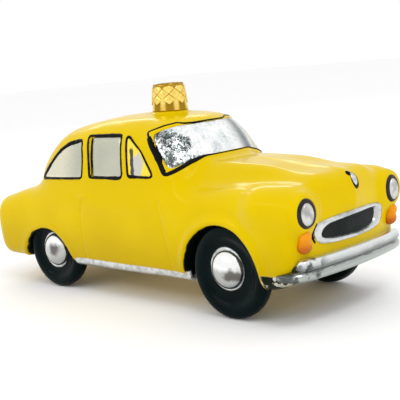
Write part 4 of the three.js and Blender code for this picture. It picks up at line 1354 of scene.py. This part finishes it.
# %% Sills
SILL_EDGE_Y, SILL_EDGE_Z = 17.6, 12.2
x = np.linspace(-24.2, 25.2, 90)[:, None]
angle = np.linspace(math.radians(26), math.radians(84), 14)[None, :]
lift = (0.12 - 0.2 * step(angle, 0.62, 0.45) + 0.75 * step(angle, 0.55, 0.95)
        - 0.95 * step(angle, 1.25, 1.46)) * step(x, -24.2, -22.8) - 0.1
for side, sign in SIDES:
    def sill_place(r):
        return (x + 0 * r, sign * (SILL_EDGE_Y + r * np.cos(angle)), SILL_EDGE_Z - r * np.sin(angle))

    grid = np.stack(sill_place(way_out(sill_place, np.full((90, 14), 9.0))), -1)
    normal = skin_normal(grid)
    piece = slab(f"sill_strip_{side}", grid + normal * lift[..., None], normal, 1.0, silver)
    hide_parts(f"sill_{side}")
print("sills from", x.min(), "to", x.max(), "mm, up to", round(float(grid[..., 2].max()), 1), "mm")

# %% [markdown]
# ## The crown cap
# The cap is pressed from one sheet: a fluted skirt, a rolled top edge, a sunk
# top with a slot, and the inside of the sheet again, down to the hem. A thin
# surface with a Solidify modifier would do, but the slot's edge and the hem
# need their own shape. The rings of the loft run over all of that and close on
# themselves, and the hem is cut to follow the roof.

# %% Cap sheet
AROUND = 256
turn = np.linspace(0, 2 * np.pi, AROUND, endpoint=False)
flute = np.cos(8 * turn + math.pi)


def cap_ring(radius, height, fluting=0.0):
    r = radius + fluting * flute
    return np.stack([CAP_X + r * np.cos(turn), r * np.sin(turn),
                     np.full(AROUND, CAP_BASE + height)], 1)


def slot_ring(height, half_length=2.95, half_width=0.7):
    straight = (half_length - half_width) * np.clip(1.5 * np.cos(turn), -1, 1)
    return np.stack([CAP_X + straight + half_width * np.cos(turn), half_width * np.sin(turn),
                     np.full(AROUND, CAP_BASE + height)], 1)


foot_points, _ = skin("z", cap_ring(5.0, 0)[:, :2], 1)
hem = foot_points[:, 2] - CAP_BASE + 0.06


def skirt_ring(radius, height, fluting=0.0):
    """A ring of the skirt, let down at the hem so that it follows the roof."""
    ring = cap_ring(radius, 0.0, fluting)
    ring[:, 2] = CAP_BASE + height + hem * step(height, 2.4, 0.0)
    return ring


rings = [skirt_ring(4.78, 0.05), skirt_ring(5.0, -0.02), skirt_ring(5.2, 0.12, 0.04)]
rings += [skirt_ring(CAP_R - CAP_TAPER * h, h, 0.13 * (1 - step(h, 2.6, 4.0)))
          for h in np.linspace(0.3, 6.5, 24)]
rings += [cap_ring(4.46, 7.0), cap_ring(4.38, 7.35), cap_ring(4.18, 7.6), cap_ring(3.95, 7.64),
          cap_ring(3.75, 7.4), cap_ring(3.66, 6.95), cap_ring(3.5, 6.8), cap_ring(3.2, 6.76)]
rings += [0.5 * cap_ring(3.2, 6.76) + 0.5 * slot_ring(6.76), slot_ring(6.76), slot_ring(6.36)]
rings += [cap_ring(3.4, 6.36), cap_ring(3.95, 6.3), cap_ring(4.05, 6.0),
          skirt_ring(4.4, 3.0), skirt_ring(4.7, 0.4)]
cap_sheet = loft("crown_cap_sheet", rings, gold, CAP, closed=True)
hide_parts("crown_cap")
print("cap rings:", len(rings), "of", AROUND)

# %% [markdown]
# ### The embossed net
# The upper part of the skirt is embossed with a net of diamonds in eight
# columns, and its lower edge is a zigzag. One diamond is made as a flat pillow
# with a raised border, copied onto a flat lattice, and then the whole sheet is
# rolled round the cap. Rolling after copying keeps every joint of the net shut.

# %% Embossed net
CELL_HALF_HEIGHT, COLUMNS, NET_TOP = 1.5, 8, 6.75
ARC = 2 * math.pi * CAP_R


def net_tree():
    group = bpy.data.node_groups.new("embossed_net", "GeometryNodeTree")
    add_input(group, "Lattice", "NodeSocketGeometry")
    names = ("Half Width", "Half Height", "Relief", "Radius", "Taper")
    keys = {name: add_input(group, name, "NodeSocketFloat") for name in names}
    keys["Material"] = add_input(group, "Material", "NodeSocketMaterial")
    group.interface.new_socket(name="Net", in_out="OUTPUT", socket_type="NodeSocketGeometry")
    tree = Tree(group)
    given = group.nodes.new("NodeGroupInput")
    lattice, half_width, half_height, relief, radius, taper, material = (
        Sock(tree, given.outputs[i]) for i in range(7))
    block = tree.node("GeometryNodeMeshCube", {}, {"Size": (2, 2, 2), "Vertices X": 17,
                                                   "Vertices Y": 17, "Vertices Z": 2})
    u, v, w = tree.parts(tree.node("GeometryNodeInputPosition"))
    reach = abs(u).most(abs(v))
    groove = abs(reach - 0.72).ramp(0.16, 0.0)
    height = (reach.ramp(1.0, 0.86) * 0.75 + reach.ramp(0.7, 0.0) * 0.35 - groove * 0.35) * relief
    top = w.ramp(-0.5, 0.5)
    shaped = tree.vector((u - v) * 0.5 * half_width, (u + v) * 0.5 * half_height,
                         height * top - (1 - top) * relief * 1.6)
    pillow_mesh = tree.node("GeometryNodeSetPosition", {}, {"Geometry": block, "Position": shaped})
    copies = tree.node("GeometryNodeInstanceOnPoints", {}, {"Points": lattice, "Instance": pillow_mesh})
    sheet = tree.node("GeometryNodeRealizeInstances", {}, {"Geometry": copies})
    x, y, z = tree.parts(tree.node("GeometryNodeInputPosition"))
    y = y - (y - NET_TOP * MM).most(0.0) * 0.9
    angle = x / radius
    out = radius + z - y * taper
    rolled = tree.vector(out * angle.cosine() + CAP_X * MM, out * angle.sine(), y + CAP_BASE * MM)
    round_it = tree.node("GeometryNodeSetPosition", {}, {"Geometry": sheet, "Position": rolled})
    done = tree.node("GeometryNodeSetMaterial", {}, {"Geometry": round_it, "Material": material})
    tree.node("NodeGroupOutput", {}, [done])
    return group, keys


lattice = []
for column in range(2 * COLUMNS):
    level = 3.15 if column % 2 == 0 else 4.65
    while level <= 6.2:
        lattice.append((ARC * column / (2 * COLUMNS) * MM, level * MM, 0))
        level += 2 * CELL_HALF_HEIGHT
net_group, net_keys = net_tree()
net_mesh = bpy.data.meshes.new("embossed_net")
net_mesh.from_pydata(lattice, [], [])
net = bpy.data.objects.new("embossed_net", net_mesh)
bpy.context.scene.collection.objects.link(net)
modifier = net.modifiers.new("net", "NODES")
modifier.node_group = net_group
for key, value in (("Half Width", ARC / (2 * COLUMNS) * MM), ("Half Height", CELL_HALF_HEIGHT * MM),
                   ("Relief", 0.27 * MM), ("Radius", CAP_R * MM), ("Taper", CAP_TAPER)):
    modifier[net_keys[key]] = value
modifier[net_keys["Material"]] = gold.material
bake(net)
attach(net, CAP)
print("net:", len(lattice), "diamonds,", len(net.data.polygons), "faces")

# %% [markdown]
# ### Neck and hanger
# Under the cap the bubble ends in a short open neck, silvered inside, where it
# was cut from the blowpipe. The hanger is spring wire bent into a loop, with
# two legs inside the neck. The neck is turned like a tyre, and the wire is
# swept like a brush line, because both helpers are there already and suit them.

# %% Neck and hanger
neck = turned("glass_neck", [(3.05, 49.6), (3.7, 49.6), (3.7, 56.9), (3.55, 57.15), (3.4, 57.2),
                             (3.2, 57.1), (3.1, 56.8), (3.1, 50.2)],
              (CAP_X, 0, 0), (0, 0, 1), bore_silver, closed=True)
floor_of_neck = turned("neck_bottom", [(3.0, 49.7), (3.3, 49.9), (3.2, 50.4), (2.6, 50.3),
                                       (1.2, 50.1), (0.3, 50.05)],
                       (CAP_X, 0, 0), (0, 0, 1), bore_silver)
LOOP_R, LOOP_Z, WIRE_R = 2.2, 56.4, 0.35
arc = [(LOOP_R * math.cos(a), LOOP_Z + LOOP_R * math.sin(a))
       for a in np.linspace(0, math.pi, 15)]
leg = [(2.1, 50.9), (2.5, 51.8), (2.48, 53.4), (2.3, 55.2)]
bend = eased(leg + arc + [(-x, z) for x, z in reversed(leg)], 4)
bend_in_place = np.stack([CAP_X + bend[:, 0], 0 * bend[:, 0], bend[:, 1]], 1)
wire = swept("hanger_wire_bend", [(bend_in_place, WIRE_R, False)], wire_gold, 16, HANGER)
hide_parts("hanger_wire")
print("wire length:", round(float(np.linalg.norm(np.diff(bend, axis=0), axis=1).sum()), 1), "mm")

# %% [markdown]
# ## Floor and light
# A pale floor, and a soft studio: a bright even surround with three large soft
# lights. A sky texture would give livelier reflections, but also a colour cast
# on the silver. Lacquer and mirror show mostly what they reflect, so the lights
# are broad, to give long soft highlights with no hard spots.

# %% Floor, world and lights
floor_finish = Finish("floor_paper", Roughness=0.75)
grain = floor_finish.noise(3.0, 3.0)
floor_finish.set(Base_Color=floor_finish.mix(grain, rgb(0.955, 0.955, 0.96), rgb(0.97, 0.97, 0.975)))
floor_mesh = bpy.data.meshes.new("floor")
REACH = 3.0
floor_mesh.from_pydata([(-REACH, -REACH, 0), (REACH, -REACH, 0), (REACH, REACH, 0),
                        (-REACH, REACH, 0)], [], [(0, 1, 2, 3)])
floor_mesh.materials.append(floor_finish.material)
floor = bpy.data.objects.new("floor", floor_mesh)
bpy.context.scene.collection.objects.link(floor)

world = bpy.data.worlds.new("studio")
world.use_nodes = True
world.node_tree.nodes["Background"].inputs["Color"].default_value = (1, 1, 1, 1)
world.node_tree.nodes["Background"].inputs["Strength"].default_value = 1.0
bpy.context.scene.world = world
bpy.context.scene.view_settings.view_transform = "Standard"


def soft_light(name, place, power, width, height, aim=(0, 0, 0.02)):
    lamp = bpy.data.lights.new(name, "AREA")
    lamp.shape, lamp.size, lamp.size_y, lamp.energy = "RECTANGLE", width, height, power
    light = bpy.data.objects.new(name, lamp)
    light.location = place
    light.rotation_mode = "QUATERNION"
    light.rotation_quaternion = (Vector(aim) - Vector(place)).to_track_quat("-Z", "Y")
    bpy.context.scene.collection.objects.link(light)


soft_light("key", (0.35, -0.1, 0.6), 0.75, 0.3, 0.16)
soft_light("side", (-0.2, -0.6, 0.45), 0.5, 0.6, 0.05)
soft_light("rear", (-0.5, 0.35, 0.4), 0.6, 0.5, 0.08)
print("floor:", 2 * REACH, "m wide")
